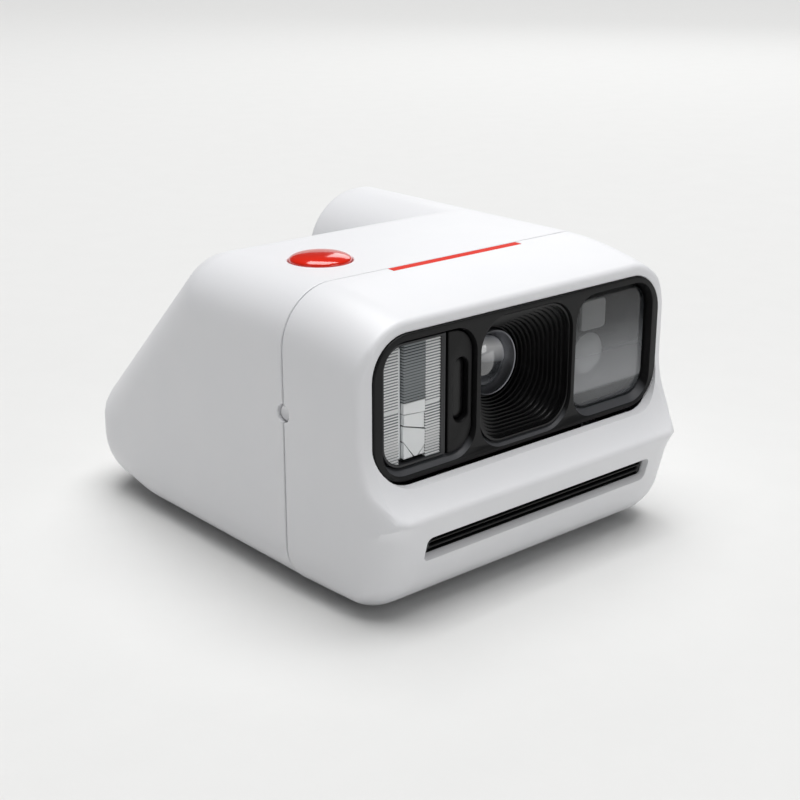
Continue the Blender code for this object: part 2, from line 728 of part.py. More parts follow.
def build_lugs_and_screws(kit):
    for side, word in ((-1, "left"), (1, "right")):
        radius = LUG_R - GAP
        profile = [(0.0, 0.0), (radius, 0.0), (radius, -2.0), (3.0, -2.0), (3.0, -3.2), (0.0, -3.2)]
        turned(f"strap_lug_{word}", profile, kit.white, kit.parts,
               (side * LUG_X, SEAM_Y + GAP / 2, LUG_Z), (0, side * 90, 0), 20)
    for i, (x, y) in enumerate(SCREW_PLACES):
        profile = [(0.0, 7.4), (SCREW_R, 7.0), (SCREW_R, 1.9), (SCREW_HEAD_R, 1.9), (SCREW_HEAD_R, 0.8),
                   (0.0, 0.8)]
        turned(f"case_screw_{i + 1}", profile, kit.steel, kit.parts, (x, y, 0), (0, 0, 0), 16)


def build_panel(kit):
    hood = rounded_rect(HOOD_HALF, HOOD_LOW, HOOD_HIGH, HOOD_R)
    holes = [window_outline(-1), hood, window_outline(1)]
    flat_plate("lens_panel", [panel_outline()] + holes, PANEL_DEPTH, kit.black, kit.parts,
               (0, PANEL_Y + PANEL_DEPTH / 2, 0), FRONT_TURN)
    finder = window_outline(1, GAP)
    flat_plate("finder_window", [finder], 1.0, kit.glass, kit.parts, (0, PANEL_Y + 1.7, 0), FRONT_TURN)
    mid = (WINDOW_LOW + WINDOW_HIGH) / 2
    half_z = (WINDOW_HIGH - WINDOW_LOW) / 2 - GAP
    flash = [p for p in window_outline(-1, GAP) if p[0] < SPLIT_X - 0.5]
    flash = [(SPLIT_X - 0.3, mid - half_z)] + [(SPLIT_X - 0.3, mid + half_z)] + flash
    flat_plate("flash_window", [flash], 1.2, kit.clear, kit.parts, (0, PANEL_Y + 1.4, 0), FRONT_TURN)
    corner = [p for p in window_outline(-1, GAP) if p[0] > SPLIT_X + 0.5]
    upper = [p for p in corner if p[1] > mid]
    lower = [p for p in corner if p[1] < mid]
    cover = upper + [(SPLIT_X, mid + half_z), (SPLIT_X, mid - half_z)] + lower
    cover = sorted(cover, key=lambda p: math.atan2(p[1] - mid, p[0] - PILL_X + 0.3))
    pill = shifted(rounded_rect(PILL_R, mid - PILL_HALF, mid + PILL_HALF, PILL_R), PILL_X)
    flat_plate("cell_cover", [cover, pill], 1.2, kit.black, kit.parts, (0, PANEL_Y + 1.4, 0), FRONT_TURN)
    span_box("light_sensor", (PILL_X - SENSOR_HALF, PANEL_Y + 2.6, mid - 4.0),
             (PILL_X + SENSOR_HALF, PANEL_Y + 4.4, mid + 2.0), kit.dark, kit.parts, 0.2)


def build_flash(kit):
    low, high, wall = REFLECTOR_LOW, REFLECTOR_HIGH, REFLECTOR_WALL
    reflector = span_box("flash_reflector", low, high, kit.silver, kit.parts)
    inner = span_box("reflector_well", (low[0] + wall, low[1] - 1.0, low[2] + wall),
                     (high[0] - wall, high[1] - wall - 0.1, high[2] - wall), None, kit.cutters)
    cut(reflector, as_cutter(inner))
    rod("flash_tube", "Z", TUBE_AT, TUBE_R, TUBE_LENGTH, kit.clear, kit.parts, 16)


def hood_ring(half, radius, y):
    middle = (HOOD_LOW + HOOD_HIGH) / 2
    rise = half * (HOOD_HIGH - HOOD_LOW) / (2 * HOOD_HALF)
    radius = min(radius, half, rise)
    centre = middle + (LENS_Z - middle) * (HOOD_HALF - half) / (HOOD_HALF - LENS_RING_R)
    return [(x, y, z) for x, z in rounded_rect(half, centre - rise, centre + rise, radius)]


def build_lens(kit):
    front_y = PANEL_Y + 0.3
    back_y = PANEL_Y + HOOD_DEPTH
    outer = [hood_ring(HOOD_HALF - GAP, HOOD_R, front_y), hood_ring(HOOD_HALF - GAP, HOOD_R, front_y + 3.0),
             hood_ring(HOOD_BACK_HALF, HOOD_BACK_HALF, back_y)]
    hood = place("lens_hood", loft_mesh("lens_hood", outer), kit.black, kit.parts)
    rings = [hood_ring(HOOD_HALF - HOOD_EDGE, HOOD_R, front_y - 1.0)]
    for i in range(HOOD_STEPS):
        half = HOOD_HALF - HOOD_EDGE - 3.6 * i / HOOD_STEPS
        depth = front_y + (HOOD_DEPTH - 1.8) * (i + 1) / HOOD_STEPS
        radius = HOOD_R + 2.4 * i / HOOD_STEPS
        rings.append(hood_ring(half, radius, depth))
        rings.append(hood_ring(half - 0.6, radius + 0.4, depth))
    cut(hood, as_cutter(place("hood_steps", loft_mesh("hood_steps", rings), None, kit.cutters)))
    cut(hood, kit.rod_cutter("hood_bore", "Y", (0, back_y, LENS_Z), LENS_RING_R + GAP, 8.0, 32))
    ring = [(LENS_RING_R, 1.6), (LENS_RING_R, -1.4), (LENS_R + 0.3, -1.4), (LENS_R + 0.3, 1.2),
            (LENS_R + 0.7, 1.6)]
    turned("lens_ring", ring, kit.steel, kit.parts, (0, back_y - 1.2, LENS_Z), (90, 0, 0), 32)
    dome = [(LENS_R * math.sin(math.radians(18 * i)), 0.2 + 1.2 * math.cos(math.radians(18 * i)))
            for i in range(6)]
    turned("front_lens", dome + [(LENS_R, -1.0), (0.0, -1.0)], kit.glass, kit.parts,
           (0, back_y - 1.4, LENS_Z), (90, 0, 0), 32)
    plate_y = back_y + 1.2
    outline = rounded_rect(9.5, LENS_Z - 9.0, LENS_Z + 7.5, 1.5, 3)
    plate = flat_plate("shutter_plate", [outline, circle(0, LENS_Z, SHUTTER_BORE_R)], SHUTTER_PLATE_T,
                       kit.dark, kit.parts, (0, plate_y, 0), FRONT_TURN)
    pin_z = LENS_Z - BLADE_PIN_DROP
    for side in (-1, 1):
        pin_at = (side * BLADE_PIN_X, plate_y + 1.0, pin_z)
        cut(plate, kit.rod_cutter(f"blade_pin_{side}", "Y", pin_at, BLADE_PIN_R, 2.4, 12), "UNION")
    for side, word in ((-1, "left"), (1, "right")):
        tip_x = -BLADE_LEAN_X * side
        reach = math.hypot(tip_x, BLADE_PIN_DROP)
        turn = math.atan2(BLADE_PIN_DROP, tip_x)
        blade = arc(reach, 0, BLADE_TIP_R, -90, 90, 8) + arc(0, 0, BLADE_ROOT_R, 90, 270, 8)
        blade = [(x * math.cos(turn) - z * math.sin(turn), x * math.sin(turn) + z * math.cos(turn))
                 for x, z in blade]
        depth = plate_y + (0.9 if side < 0 else 1.5)
        flat_plate(f"shutter_blade_{word}", [blade, circle(0, 0, BLADE_BORE_R, 12)], BLADE_T, kit.dark,
                   kit.parts, (side * BLADE_PIN_X, depth, pin_z), FRONT_TURN)
    barrel = [(MOUNT_R, MOUNT_HALF), (MOUNT_R, -MOUNT_HALF), (MOUNT_BORE_R, -MOUNT_HALF),
              (MOUNT_BORE_R, MOUNT_HALF)]
    turned("rear_lens_mount", barrel, kit.black, kit.parts, (0, plate_y + 4.0, LENS_Z), (90, 0, 0), 28)
    back_dome = [(x * REAR_LENS_SHARE, z) for x, z in dome]
    turned("rear_lens", back_dome + [(LENS_R * REAR_LENS_SHARE, -1.0), (0.0, -1.0)], kit.glass, kit.parts,
           (0, plate_y + 4.0, LENS_Z), (-90, 0, 0), 28)
    rod("shutter_motor", "Y", (BLADE_MOTOR_X, plate_y + 2.2, LENS_Z - 5.6), BLADE_MOTOR_R, 5.0,
        kit.steel, kit.parts, 20)


def build_finder(kit):
    low, high, wall = TUNNEL_LOW, TUNNEL_HIGH, TUNNEL_WALL
    tunnel = span_box("finder_tunnel", low, high, kit.dark, kit.parts)
    bore = span_box("tunnel_bore", (low[0] + wall, low[1] - 1.0, low[2] + wall),
                    (high[0] - wall, high[1] + 1.0, high[2] - wall), None, kit.cutters)
    cut(tunnel, as_cutter(bore))
    ring = [(EYE_R - 0.5, 1.4), (EYE_R, 1.0), (EYE_R, 0.3), (EYE_R - 2.1, 0.3), (EYE_R - 2.1, -3.4),
            (EYE_R - 3.6, -3.4), (EYE_R - 3.6, 0.4), (EYE_R - 2.6, 1.4)]
    turned("eyepiece_ring", ring, kit.black, kit.parts, (EYE_X, FINDER_BACK_Y, EYE_Z), (-90, 0, 0), 36)
    dome = [(EYE_LENS_R * math.sin(math.radians(22.5 * i)), -0.6 + 0.8 * math.cos(math.radians(22.5 * i)))
            for i in range(5)]
    turned("eyepiece_lens", dome + [(EYE_LENS_R, -2.4), (0.0, -2.4)], kit.glass, kit.parts,
           (EYE_X, FINDER_BACK_Y, EYE_Z), (-90, 0, 0), 32)


def build_buttons(kit):
    angles = [math.radians(15 * i) for i in range(7)]
    dome = [(SHUTTER_R * math.sin(a), -0.1 + (SHUTTER_DOME + 0.1) * math.cos(a)) for a in angles]
    stem = [(SHUTTER_R, -2.5), (SHUTTER_R + 1.0, -2.5), (SHUTTER_R + 1.0, -3.5), (3.0, -3.5), (3.0, -5.0),
            (0.0, -5.0)]
    turned("shutter_button", dome + stem, kit.red, kit.parts, (SHUTTER_X, SHUTTER_Y, TOP_Z), (0, 0, 0), 32)
    span_box("shutter_switch", (SHUTTER_X - SWITCH_HALF, SHUTTER_Y - SWITCH_HALF, SWITCH_LOW),
             (SHUTTER_X + SWITCH_HALF, SHUTTER_Y + SWITCH_HALF, SWITCH_HIGH), kit.dark, kit.parts, 0.3)
    key = [(0.0, 0.5), (KEY_R - 0.6, 0.5), (KEY_R, 0.1), (KEY_R, -2.5), (KEY_R + 0.8, -2.5),
           (KEY_R + 0.8, -3.1), (0.0, -3.1)]
    for name, x in (("power_button", POWER_X), ("flash_button", FLASH_KEY_X)):
        turned(name, key, kit.black, kit.parts, on_slope(x, KEY_DOWN_SLOPE), SLOPE_TURN, 28)
    half_x, half_y = COUNTER_HALF
    place("counter_window", box_mesh("counter_window", (2 * half_x, 2 * half_y, 1.2)), kit.clear, kit.parts,
          on_slope(COUNTER_X, KEY_DOWN_SLOPE, -0.7), SLOPE_TURN)
    place("counter_display", box_mesh("counter_display", (2 * half_x - 1, 2 * half_y - 1, 1.4)), kit.dark,
          kit.parts, on_slope(COUNTER_X, KEY_DOWN_SLOPE, -2.9), SLOPE_TURN)
    place("key_board", box_mesh("key_board", (36.0, 11.0, 0.8)), kit.board, kit.parts,
          on_slope(-9.5, KEY_DOWN_SLOPE, -4.8), SLOPE_TURN)
    place("status_light", cylinder_mesh("status_light", STATUS_R, 3.0, 12), kit.clear, kit.parts,
          on_slope(STATUS_X, KEY_DOWN_SLOPE, -1.6), SLOPE_TURN)


def build_door(kit):
    door = span_box("film_door", (-DOOR_HALF, DOOR_FRONT_Y, DOOR_LIFT),
                    (DOOR_HALF, DOOR_PIN_Y - 0.8, DOOR_LIFT + DOOR_THICK), kit.white, kit.parts,
                    origin=(0, DOOR_PIN_Y, DOOR_PIN_Z))
    pin_at = (0, DOOR_PIN_Y, DOOR_PIN_Z)
    barrel_length = 2 * (DOOR_HALF - DOOR_NOTCH) - 0.2
    cut(door, kit.rod_cutter("door_barrel", "X", pin_at, DOOR_PIN_R + 0.9, barrel_length, 20), "UNION")
    cut(door, kit.rod_cutter("door_pin_bore", "X", pin_at, DOOR_PIN_R + GAP, 70.0, 16))
    for side in (-1, 1):
        low, high = sorted((side * (DOOR_HALF - DOOR_NOTCH), side * (DOOR_HALF + 1)))
        notch = kit.box_cutter(f"door_notch_{side}", (low, DOOR_PIN_Y - 3.9, -1), (high, DOOR_PIN_Y + 4, 5))
        cut(door, notch)
    rod("door_hinge_pin", "X", pin_at, DOOR_PIN_R, 2 * DOOR_HALF - 0.4, kit.steel, kit.parts, 16)
    span_box("door_latch", (38.9, LATCH_Y - 4.0, LATCH_Z - 3.0), (41.6, LATCH_Y + 6.0, LATCH_Z + 3.0),
             kit.black, kit.parts, 0.5)


def inset_polygon(points, distance):
    """A convex anticlockwise polygon moved in by a distance on every side."""
    lines = []
    for (ax, ay), (bx, by) in zip(points, points[1:] + points[:1]):
        length = math.hypot(bx - ax, by - ay)
        nx, ny = -(by - ay) / length, (bx - ax) / length
        lines.append((nx, ny, nx * ax + ny * ay + distance))
    moved = []
    for (n1x, n1y, c1), (n2x, n2y, c2) in zip(lines[-1:] + lines[:-1], lines):
        det = n1x * n2y - n1y * n2x
        moved.append(((c1 * n2y - c2 * n1y) / det, (n1x * c2 - n2x * c1) / det))
    return moved


def build_chassis(kit):
    wall = CHASSIS_WALL
    half = CHAMBER_HALF + wall
    top = CHAMBER_HIGH + wall
    chassis = span_box("chassis", (-half, CHAMBER_FRONT_Y - wall, 3.2), (half, CHAMBER_BACK_Y + wall, top),
                       kit.dark, kit.parts)
    for side in (-1, 1):
        low, high = sorted((side * (DOOR_HALF - 1.9), side * (DOOR_HALF - 0.1)))
        cut(chassis, kit.box_cutter(f"hinge_lug_{side}", (low, CHAMBER_BACK_Y + 0.5, 0.8),
                                    (high, DOOR_PIN_Y + 1.7, 6.5)), "UNION")
    for i, (x, y) in enumerate(SCREW_PLACES):
        low, high = sorted((math.copysign(half - 0.5, x), math.copysign(BOSS_OUT, x)))
        boss = kit.box_cutter(f"boss_{i + 1}", (low, y - BOSS_HALF, 3.6), (high, y + BOSS_HALF, 9.0))
        cut(chassis, boss, "UNION")
    cut(chassis, kit.box_cutter("film_chamber", (-CHAMBER_HALF, CHAMBER_FRONT_Y, -1.0),
                                (CHAMBER_HALF, CHAMBER_BACK_Y, CHAMBER_HIGH)))
    cut(chassis, kit.box_cutter("image_window", (-IMAGE_HALF, IMAGE_FRONT_Y, CHAMBER_HIGH - 1.0),
                                (IMAGE_HALF, IMAGE_BACK_Y, top + 1.0)))
    cut(chassis, kit.box_cutter("print_exit", (-PRINT_HALF, CHAMBER_FRONT_Y - wall - 1.0, PRINT_Z - 1.0),
                                (PRINT_HALF, CHAMBER_FRONT_Y + 1.0, PRINT_Z + 1.0)))
    pin_at = (0, DOOR_PIN_Y, DOOR_PIN_Z)
    cut(chassis, kit.rod_cutter("hinge_bore", "X", pin_at, DOOR_PIN_R + GAP, 70.0, 16))
    for i, (x, y) in enumerate(SCREW_PLACES):
        cut(chassis, kit.rod_cutter(f"boss_bore_{i + 1}", "Z", (x, y, 5.6), 1.0, 4.8, 12))
    guide = [rounded_rect(SLOT_HALF - GAP, SLOT_LOW + 0.35, SLOT_HIGH - 0.35, 0.9, 3),
             rounded_rect(PRINT_HALF, PRINT_Z - 0.7, PRINT_Z + 0.7, 0.4, 2)]
    flat_plate("print_guide", guide, 1.6, kit.black, kit.parts, (0, NOSE_Y + 3.1, 0), FRONT_TURN)


def build_dark_box(kit):
    base = CHAMBER_HIGH + CHASSIS_WALL + GAP
    front_y = PANEL_Y + HOOD_DEPTH + 8.2
    outline = [(front_y + 5.5, base), (IMAGE_BACK_Y + 2.0, base), (33.0, slope_z(33.0) - MIRROR_DROP),
               (8.5, slope_z(8.5) - MIRROR_DROP), (front_y, LENS_Z + 6.8), (front_y, LENS_Z - 7.0)]

    def half_at(z):
        return 25.0 - 9.0 * (z - base) / 32.0

    def both_sides(points, less):
        return [[(side * (half_at(z) - less), y, z) for y, z in points] for side in (-1, 1)]

    dark_box = place("dark_box", loft_mesh("dark_box", both_sides(outline, 0.0)), kit.dark, kit.parts)
    inner = loft_mesh("light_path", both_sides(inset_polygon(outline, 1.1), 1.1))
    cut(dark_box, as_cutter(place("light_path", inner, None, kit.cutters)))
    cut(dark_box, kit.rod_cutter("light_entry", "Y", (0, front_y, LENS_Z), 4.4, 5.0, 24))
    cut(dark_box, kit.box_cutter("light_exit", (-IMAGE_HALF, IMAGE_FRONT_Y + 2.0, base - 1.0),
                                 (IMAGE_HALF, IMAGE_BACK_Y, base + 2.0)))
    along = (MIRROR_Y - SLOPE_TOP_Y) / SLOPE_COS
    above = -MIRROR_DROP * SLOPE_COS
    window = box_mesh("mirror_window", MIRROR_WINDOW)
    cut(dark_box, as_cutter(place("mirror_window", window, None, kit.cutters,
                                  on_slope(0, along, above), SLOPE_TURN)))
    place("mirror", box_mesh("mirror", MIRROR_SIZE), kit.silver, kit.parts,
          on_slope(0, along, above + 0.95), SLOPE_TURN)


def gear_outline(teeth, phase):
    """A gear's outline; phase is the angle of one tooth, in degrees."""
    radius = MODULE * teeth / 2
    pitch = 360.0 / teeth
    points = []
    for i in range(teeth):
        middle = phase + i * pitch
        for offset, reach in ((-0.29, -1.15), (-0.13, 0.75), (0.13, 0.75), (0.29, -1.15)):
            a = math.radians(middle + offset * pitch)
            points.append(((radius + reach * MODULE) * math.cos(a), (radius + reach * MODULE) * math.sin(a)))
    return points


def build_gear(kit, name, teeth, y, z, phase, bore, x=GEAR_X):
    """A gear square to X; its outline stands in the YZ plane."""
    return flat_plate(name, [gear_outline(teeth, phase), circle(0, 0, bore, 16)], GEAR_T, kit.gear,
                      kit.parts, (x, y, z), (90, 0, 90))


def gear_centres():
    """(y, z) of the lower roller, upper roller, idler and motor pinion."""
    half_gap = MODULE * ROLLER_TEETH / 2
    lower = Vector((ROLLER_Y, PRINT_Z - half_gap))
    upper = Vector((ROLLER_Y, PRINT_Z + half_gap))
    pinion = Vector((MOTOR_Y, MOTOR_Z))
    to_upper = MODULE * (ROLLER_TEETH + IDLER_TEETH) / 2
    to_pinion = MODULE * (IDLER_TEETH + PINION_TEETH) / 2
    span = pinion - upper
    along = (span.length_squared + to_upper ** 2 - to_pinion ** 2) / (2 * span.length)
    aside = math.sqrt(to_upper ** 2 - along ** 2)
    direction = span.normalized()
    idler = upper + direction * along + Vector((direction.y, -direction.x)) * aside
    return lower, upper, idler, pinion


def mesh_phase(own, other, other_teeth, other_phase, own_teeth):
    """Phase that puts one of own's gaps opposite other's tooth on their line of centres."""
    line = math.degrees(math.atan2(own.y - other.y, own.x - other.x))
    other_pitch = 360.0 / other_teeth
    past_tooth = ((line - other_phase) % other_pitch) / other_pitch
    return line + 180.0 + (0.5 + past_tooth) * 360.0 / own_teeth


def build_drive(kit):
    lower, upper, idler, pinion = gear_centres()
    for name, centre in (("lower_roller", lower), ("upper_roller", upper)):
        axle = [(AXLE_R, AXLE_RIGHT), (AXLE_R, ROLLER_HALF), (ROLLER_R, ROLLER_HALF),
                (ROLLER_R, -ROLLER_HALF), (AXLE_R, -ROLLER_HALF), (AXLE_R, -AXLE_LEFT)]
        profile = [(0.0, AXLE_RIGHT)] + axle + [(0.0, -AXLE_LEFT)]
        turned(name, profile, kit.rubber if name == "lower_roller" else kit.steel, kit.parts,
               (0, centre.x, centre.y), (0, 90, 0), 24)
    phase_lower = 90.0
    phase_upper = mesh_phase(upper, lower, ROLLER_TEETH, phase_lower, ROLLER_TEETH)
    phase_idler = mesh_phase(idler, upper, ROLLER_TEETH, phase_upper, IDLER_TEETH)
    phase_pinion = mesh_phase(pinion, idler, IDLER_TEETH, phase_idler, PINION_TEETH)
    bore = AXLE_R + GAP
    build_gear(kit, "lower_roller_gear", ROLLER_TEETH, lower.x, lower.y, phase_lower, bore)
    build_gear(kit, "upper_roller_gear", ROLLER_TEETH, upper.x, upper.y, phase_upper, bore)
    build_gear(kit, "idler_gear", IDLER_TEETH, idler.x, idler.y, phase_idler, IDLER_BORE_R)
    build_gear(kit, "motor_pinion", PINION_TEETH, pinion.x, pinion.y, phase_pinion, SHAFT_BORE_R)
    rod("idler_pin", "X", (-35.6, idler.x, idler.y), IDLER_PIN_R, 5.6, kit.steel, kit.parts, 16)
    profile = [(0.0, MOTOR_LENGTH), (MOTOR_R, MOTOR_LENGTH), (MOTOR_R, 0.0), (SHAFT_R, 0.0),
               (SHAFT_R, -7.4), (0.0, -7.4)]
    turned("drive_motor", profile, kit.steel, kit.parts, (MOTOR_FACE_X, pinion.x, pinion.y), (0, 90, 0), 24)
    for side, word in ((-1, "left"), (1, "right")):
        back_y = -22.4 if side < 0 else -34.5
        outline = [(-45.4, 9.0), (back_y, 9.0), (back_y, 28.4), (-34.6, 28.4), (-45.4, 24.0)]
        if side < 0:
            holes = [circle(*lower, bore, 16), circle(*upper, bore, 16), circle(*pinion, SHAFT_BORE_R, 12)]
        else:
            outline = [(-45.4, 9.0), (back_y, 9.0), (back_y, 24.0), (-45.4, 24.0)]
            holes = [circle(*lower, bore, 16), circle(*upper, bore, 16)]
        middle = side * (BRACKET_X + BRACKET_T / 2)
        flat_plate(f"roller_bracket_{word}", [outline] + holes, BRACKET_T, kit.steel, kit.parts,
                   (middle, 0, 0), (90, 0, 90))
        spring_foot = (side * SPRING_X, ROLLER_Y, upper.y + AXLE_R + GAP + 0.25)
        build_spring(kit, f"roller_spring_{word}", spring_foot)
    span_box("film_pick", PICK_LOW, PICK_HIGH, kit.steel, kit.parts)


def build_spring(kit, name, foot, turns=3, radius=0.85, wire=0.22, height=3.2):
    count = turns * 10 + 1
    curve = bpy.data.curves.new(name, "CURVE")
    curve.dimensions = "3D"
    curve.bevel_depth = wire * MM
    curve.bevel_resolution = 1
    curve.use_fill_caps = True
    spline = curve.splines.new("POLY")
    spline.points.add(count - 1)
    for i, point in enumerate(spline.points):
        a = 2 * math.pi * i / 10
        z = height * i / (count - 1)
        point.co = (radius * math.cos(a) * MM, radius * math.sin(a) * MM, z * MM, 1)
    item = bpy.data.objects.new(name, curve)
    curve.materials.append(kit.steel)
    item.location = Vector(foot) * MM
    kit.parts.objects.link(item)


def build_electronics(kit):
    span_box("main_board", BOARD_LOW, BOARD_HIGH, kit.board, kit.parts)
    rod("flash_capacitor", "Y", CAPACITOR_AT, CAPACITOR_R, CAPACITOR_LENGTH, kit.can, kit.parts, 24)
    span_box("battery", BATTERY_LOW, BATTERY_HIGH, kit.cell, kit.parts, 1.2)
    usb = span_box("usb_port", USB_LOW, USB_HIGH, kit.steel, kit.parts)
    cut(usb, kit.box_cutter("usb_mouth", (USB_LOW[0] + 0.8, USB_LOW[1] + 0.6, USB_LOW[2] + USB_WALL),
                            (USB_HIGH[0] + 1.3, USB_HIGH[1] - 0.6, USB_HIGH[2] - USB_WALL)))


def main():
    clear_scene()
    kit = Kit()
    build_front_shell(kit)
    build_rear_shell(kit)
    build_lugs_and_screws(kit)
    build_panel(kit)
    build_flash(kit)
    build_lens(kit)
    build_finder(kit)
    build_buttons(kit)
    build_door(kit)
    build_chassis(kit)
    build_dark_box(kit)
    build_drive(kit)
    build_electronics(kit)


if __name__ == "__main__":
    main()
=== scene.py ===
"""Looks of a compact instant film camera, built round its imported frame.

The file is laid out as a Blender add-on: settings, one operator for each group of pieces, one panel.
Lengths are worked in millimetres and turned into metres by MM. +Z is up, the lens looks along -Y.
"""
import json
import math

import bmesh
import bpy
import numpy as np
from mathutils import Matrix, Vector


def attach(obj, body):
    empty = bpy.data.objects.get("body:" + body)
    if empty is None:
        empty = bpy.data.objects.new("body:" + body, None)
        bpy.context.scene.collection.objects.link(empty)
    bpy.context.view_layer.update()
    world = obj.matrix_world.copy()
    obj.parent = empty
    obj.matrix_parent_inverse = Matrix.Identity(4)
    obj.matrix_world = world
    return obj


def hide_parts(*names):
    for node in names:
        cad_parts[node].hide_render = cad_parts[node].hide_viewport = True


bl_info = {
    "name": "Instant Camera",
    "version": (1, 0, 0),
    "blender": (4, 5, 0),
    "location": "3D View > Sidebar > Instant Camera",
    "description": "Shells, lens panel, flash, lens, buttons and studio of a compact instant film camera",
    "category": "Object",
}

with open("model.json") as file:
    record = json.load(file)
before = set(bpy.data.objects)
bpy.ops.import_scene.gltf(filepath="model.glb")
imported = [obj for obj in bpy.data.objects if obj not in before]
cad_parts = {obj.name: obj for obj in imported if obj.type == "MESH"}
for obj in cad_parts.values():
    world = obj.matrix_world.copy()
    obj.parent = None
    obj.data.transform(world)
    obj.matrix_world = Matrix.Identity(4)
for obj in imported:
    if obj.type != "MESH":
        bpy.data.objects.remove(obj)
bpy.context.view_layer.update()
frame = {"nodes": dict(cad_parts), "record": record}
MM = 0.001
BODY = "camera_body"

# ---- sizes shared with the frame, in millimetres ------------------------------------------------
WIDTH = 84.0
TOP_Z = 59.15
SEAM_Y = -23.35
SEAM_GAP = 0.3
NOSE_Y = -51.3
NOSE_Z = 20.6
NOSE_R = 1.5
FACE_Y = -44.0
CHIN_TILT = 15.0
SCOOP_R = 18.47
SCOOP_Z = 36.0
HOOD_CURVE = 0.0069
HOOD_BACK_Y = SEAM_Y + 1.0
BACK_Y = 51.3
SLOPE_ANGLE = math.atan(0.951)
SLOPE_TOP_Y = 10.9
FINDER_X = 29.3
FINDER_R = 14.5
FINDER_BACK_Y = 43.6
EYE = (28.4, 44.8)
EYE_R = 9.0
PANEL_Y = -44.35
LENS_Z = 39.8
HOOD_DEPTH = 11.5
KEY_ALONG = 13.0


# ---- small tools -------------------------------------------------------------------------------
def linear(hex_colour, alpha=1.0):
    """An sRGB hex colour such as "f2f2f0" as linear values."""
    parts = [int(hex_colour[i:i + 2], 16) / 255 for i in (0, 2, 4)]
    return tuple(c / 12.92 if c <= 0.04045 else ((c + 0.055) / 1.055) ** 2.4 for c in parts) + (alpha,)


def arc(cx, cy, radius, start, end, steps):
    angles = [math.radians(start + (end - start) * i / steps) for i in range(steps + 1)]
    return [(cx + radius * math.cos(a), cy + radius * math.sin(a)) for a in angles]


def rounded(low, high, radius, steps=8):
    """A rounded rectangle between two corners, anticlockwise, always with 4 * (steps + 1) points."""
    (x0, y0), (x1, y1) = low, high
    r = max(0.01, min(radius, (x1 - x0) / 2 - 0.001, (y1 - y0) / 2 - 0.001))
    return (arc(x1 - r, y1 - r, r, 0, 90, steps) + arc(x0 + r, y1 - r, r, 90, 180, steps)
            + arc(x0 + r, y0 + r, r, 180, 270, steps) + arc(x1 - r, y0 + r, r, 270, 360, steps))


def circle(radius, steps=48, centre=(0.0, 0.0)):
    return arc(centre[0], centre[1], radius, 0, 360, steps)[:-1]


def mesh_of(name, points, faces):
    """A mesh from points in millimetres, with its faces turned outward."""
    mesh = bpy.data.meshes.new(name)
    mesh.from_pydata([tuple(c * MM for c in p) for p in points], [], faces)
    bm = bmesh.new()
    bm.from_mesh(mesh)
    bmesh.ops.remove_doubles(bm, verts=bm.verts, dist=2e-6)
    bmesh.ops.dissolve_degenerate(bm, dist=1e-6, edges=bm.edges)
    bmesh.ops.recalc_face_normals(bm, faces=bm.faces)
    bm.to_mesh(mesh)
    bm.free()
    return mesh


def loft(name, rings, caps=True, closed=False):
    """Quads through rings of equal length; closed joins the last ring to the first."""
    count = len(rings[0])
    points = [p for ring in rings for p in ring]
    faces = []
    pairs = list(zip(range(len(rings) - 1), range(1, len(rings))))
    if closed:
        pairs.append((len(rings) - 1, 0))
    for a, b in pairs:
        for i in range(count):
            j = (i + 1) % count
            faces.append((a * count + i, a * count + j, b * count + j, b * count + i))
    if caps and not closed:
        faces.append(tuple(range(count))[::-1])
        faces.append(tuple(range(len(points) - count, len(points))))
    return mesh_of(name, points, faces)


def stacked(name, outline, levels, caps=True, closed=False):
    """A loft of outline(grow) in XY, one ring for each (grow, height)."""
    return loft(name, [[(x, y, h) for x, y in outline(grow)] for grow, h in levels], caps, closed)


def turned(name, profile, steps=64, closed=True):
    """A (radius, height) profile turned about Z."""
    ring = [(math.cos(2 * math.pi * i / steps), math.sin(2 * math.pi * i / steps)) for i in range(steps)]
    rings = [[(r * c, r * s, h) for c, s in ring] for r, h in profile]
    return loft(name, rings, caps=not closed, closed=closed)


def rounded_levels(depth, edge, steps=4, back_edge=0.0):
    """(grow, height) levels of a slab from -depth to 0 whose front edge has a radius."""
    levels = [(-back_edge, -depth), (0.0, -depth + back_edge)] if back_edge else [(0.0, -depth)]
    for i in range(steps + 1):
        a = math.radians(90 * i / steps)
        levels.append((-edge * (1 - math.cos(a)), -edge + edge * math.sin(a)))
    return levels


def mouth_levels(depth, lip, steps=4, rise=1.0):
    """(grow, height) levels of a cutter from -depth up, whose mouth flares by a lip radius at height 0."""
    levels = [(0.0, -depth), (0.0, -lip)]
    for i in range(1, steps + 1):
        a = math.radians(90 * i / steps)
        levels.append((lip * (1 - math.cos(a)), -lip + lip * math.sin(a)))
    return levels + [(lip, rise)]


FACING_FRONT = Matrix.Rotation(math.radians(90), 4, "X")
FACING_BACK = Matrix.Rotation(math.radians(-90), 4, "X")
ON_SLOPE = Matrix.Rotation(-SLOPE_ANGLE, 4, "X")


def put(mesh, at, turn=None):
    """Turn a mesh, then move it to a point in millimetres."""
    if turn is not None:
        mesh.transform(turn)
    mesh.transform(Matrix.Translation(Vector(at) * MM))
    return mesh


def on_slope(x, along, above=0.0):
    y = SLOPE_TOP_Y + along * math.cos(SLOPE_ANGLE) + above * math.sin(SLOPE_ANGLE)
    return (x, y, TOP_Z - along * math.sin(SLOPE_ANGLE) + above * math.cos(SLOPE_ANGLE))


def joined(name, meshes):
    """Several meshes as one."""
    bm = bmesh.new()
    for mesh in meshes:
        bm.from_mesh(mesh)
    whole = bpy.data.meshes.new(name)
    bm.to_mesh(whole)
    bm.free()
    for mesh in meshes:
        bpy.data.meshes.remove(mesh)
    return whole


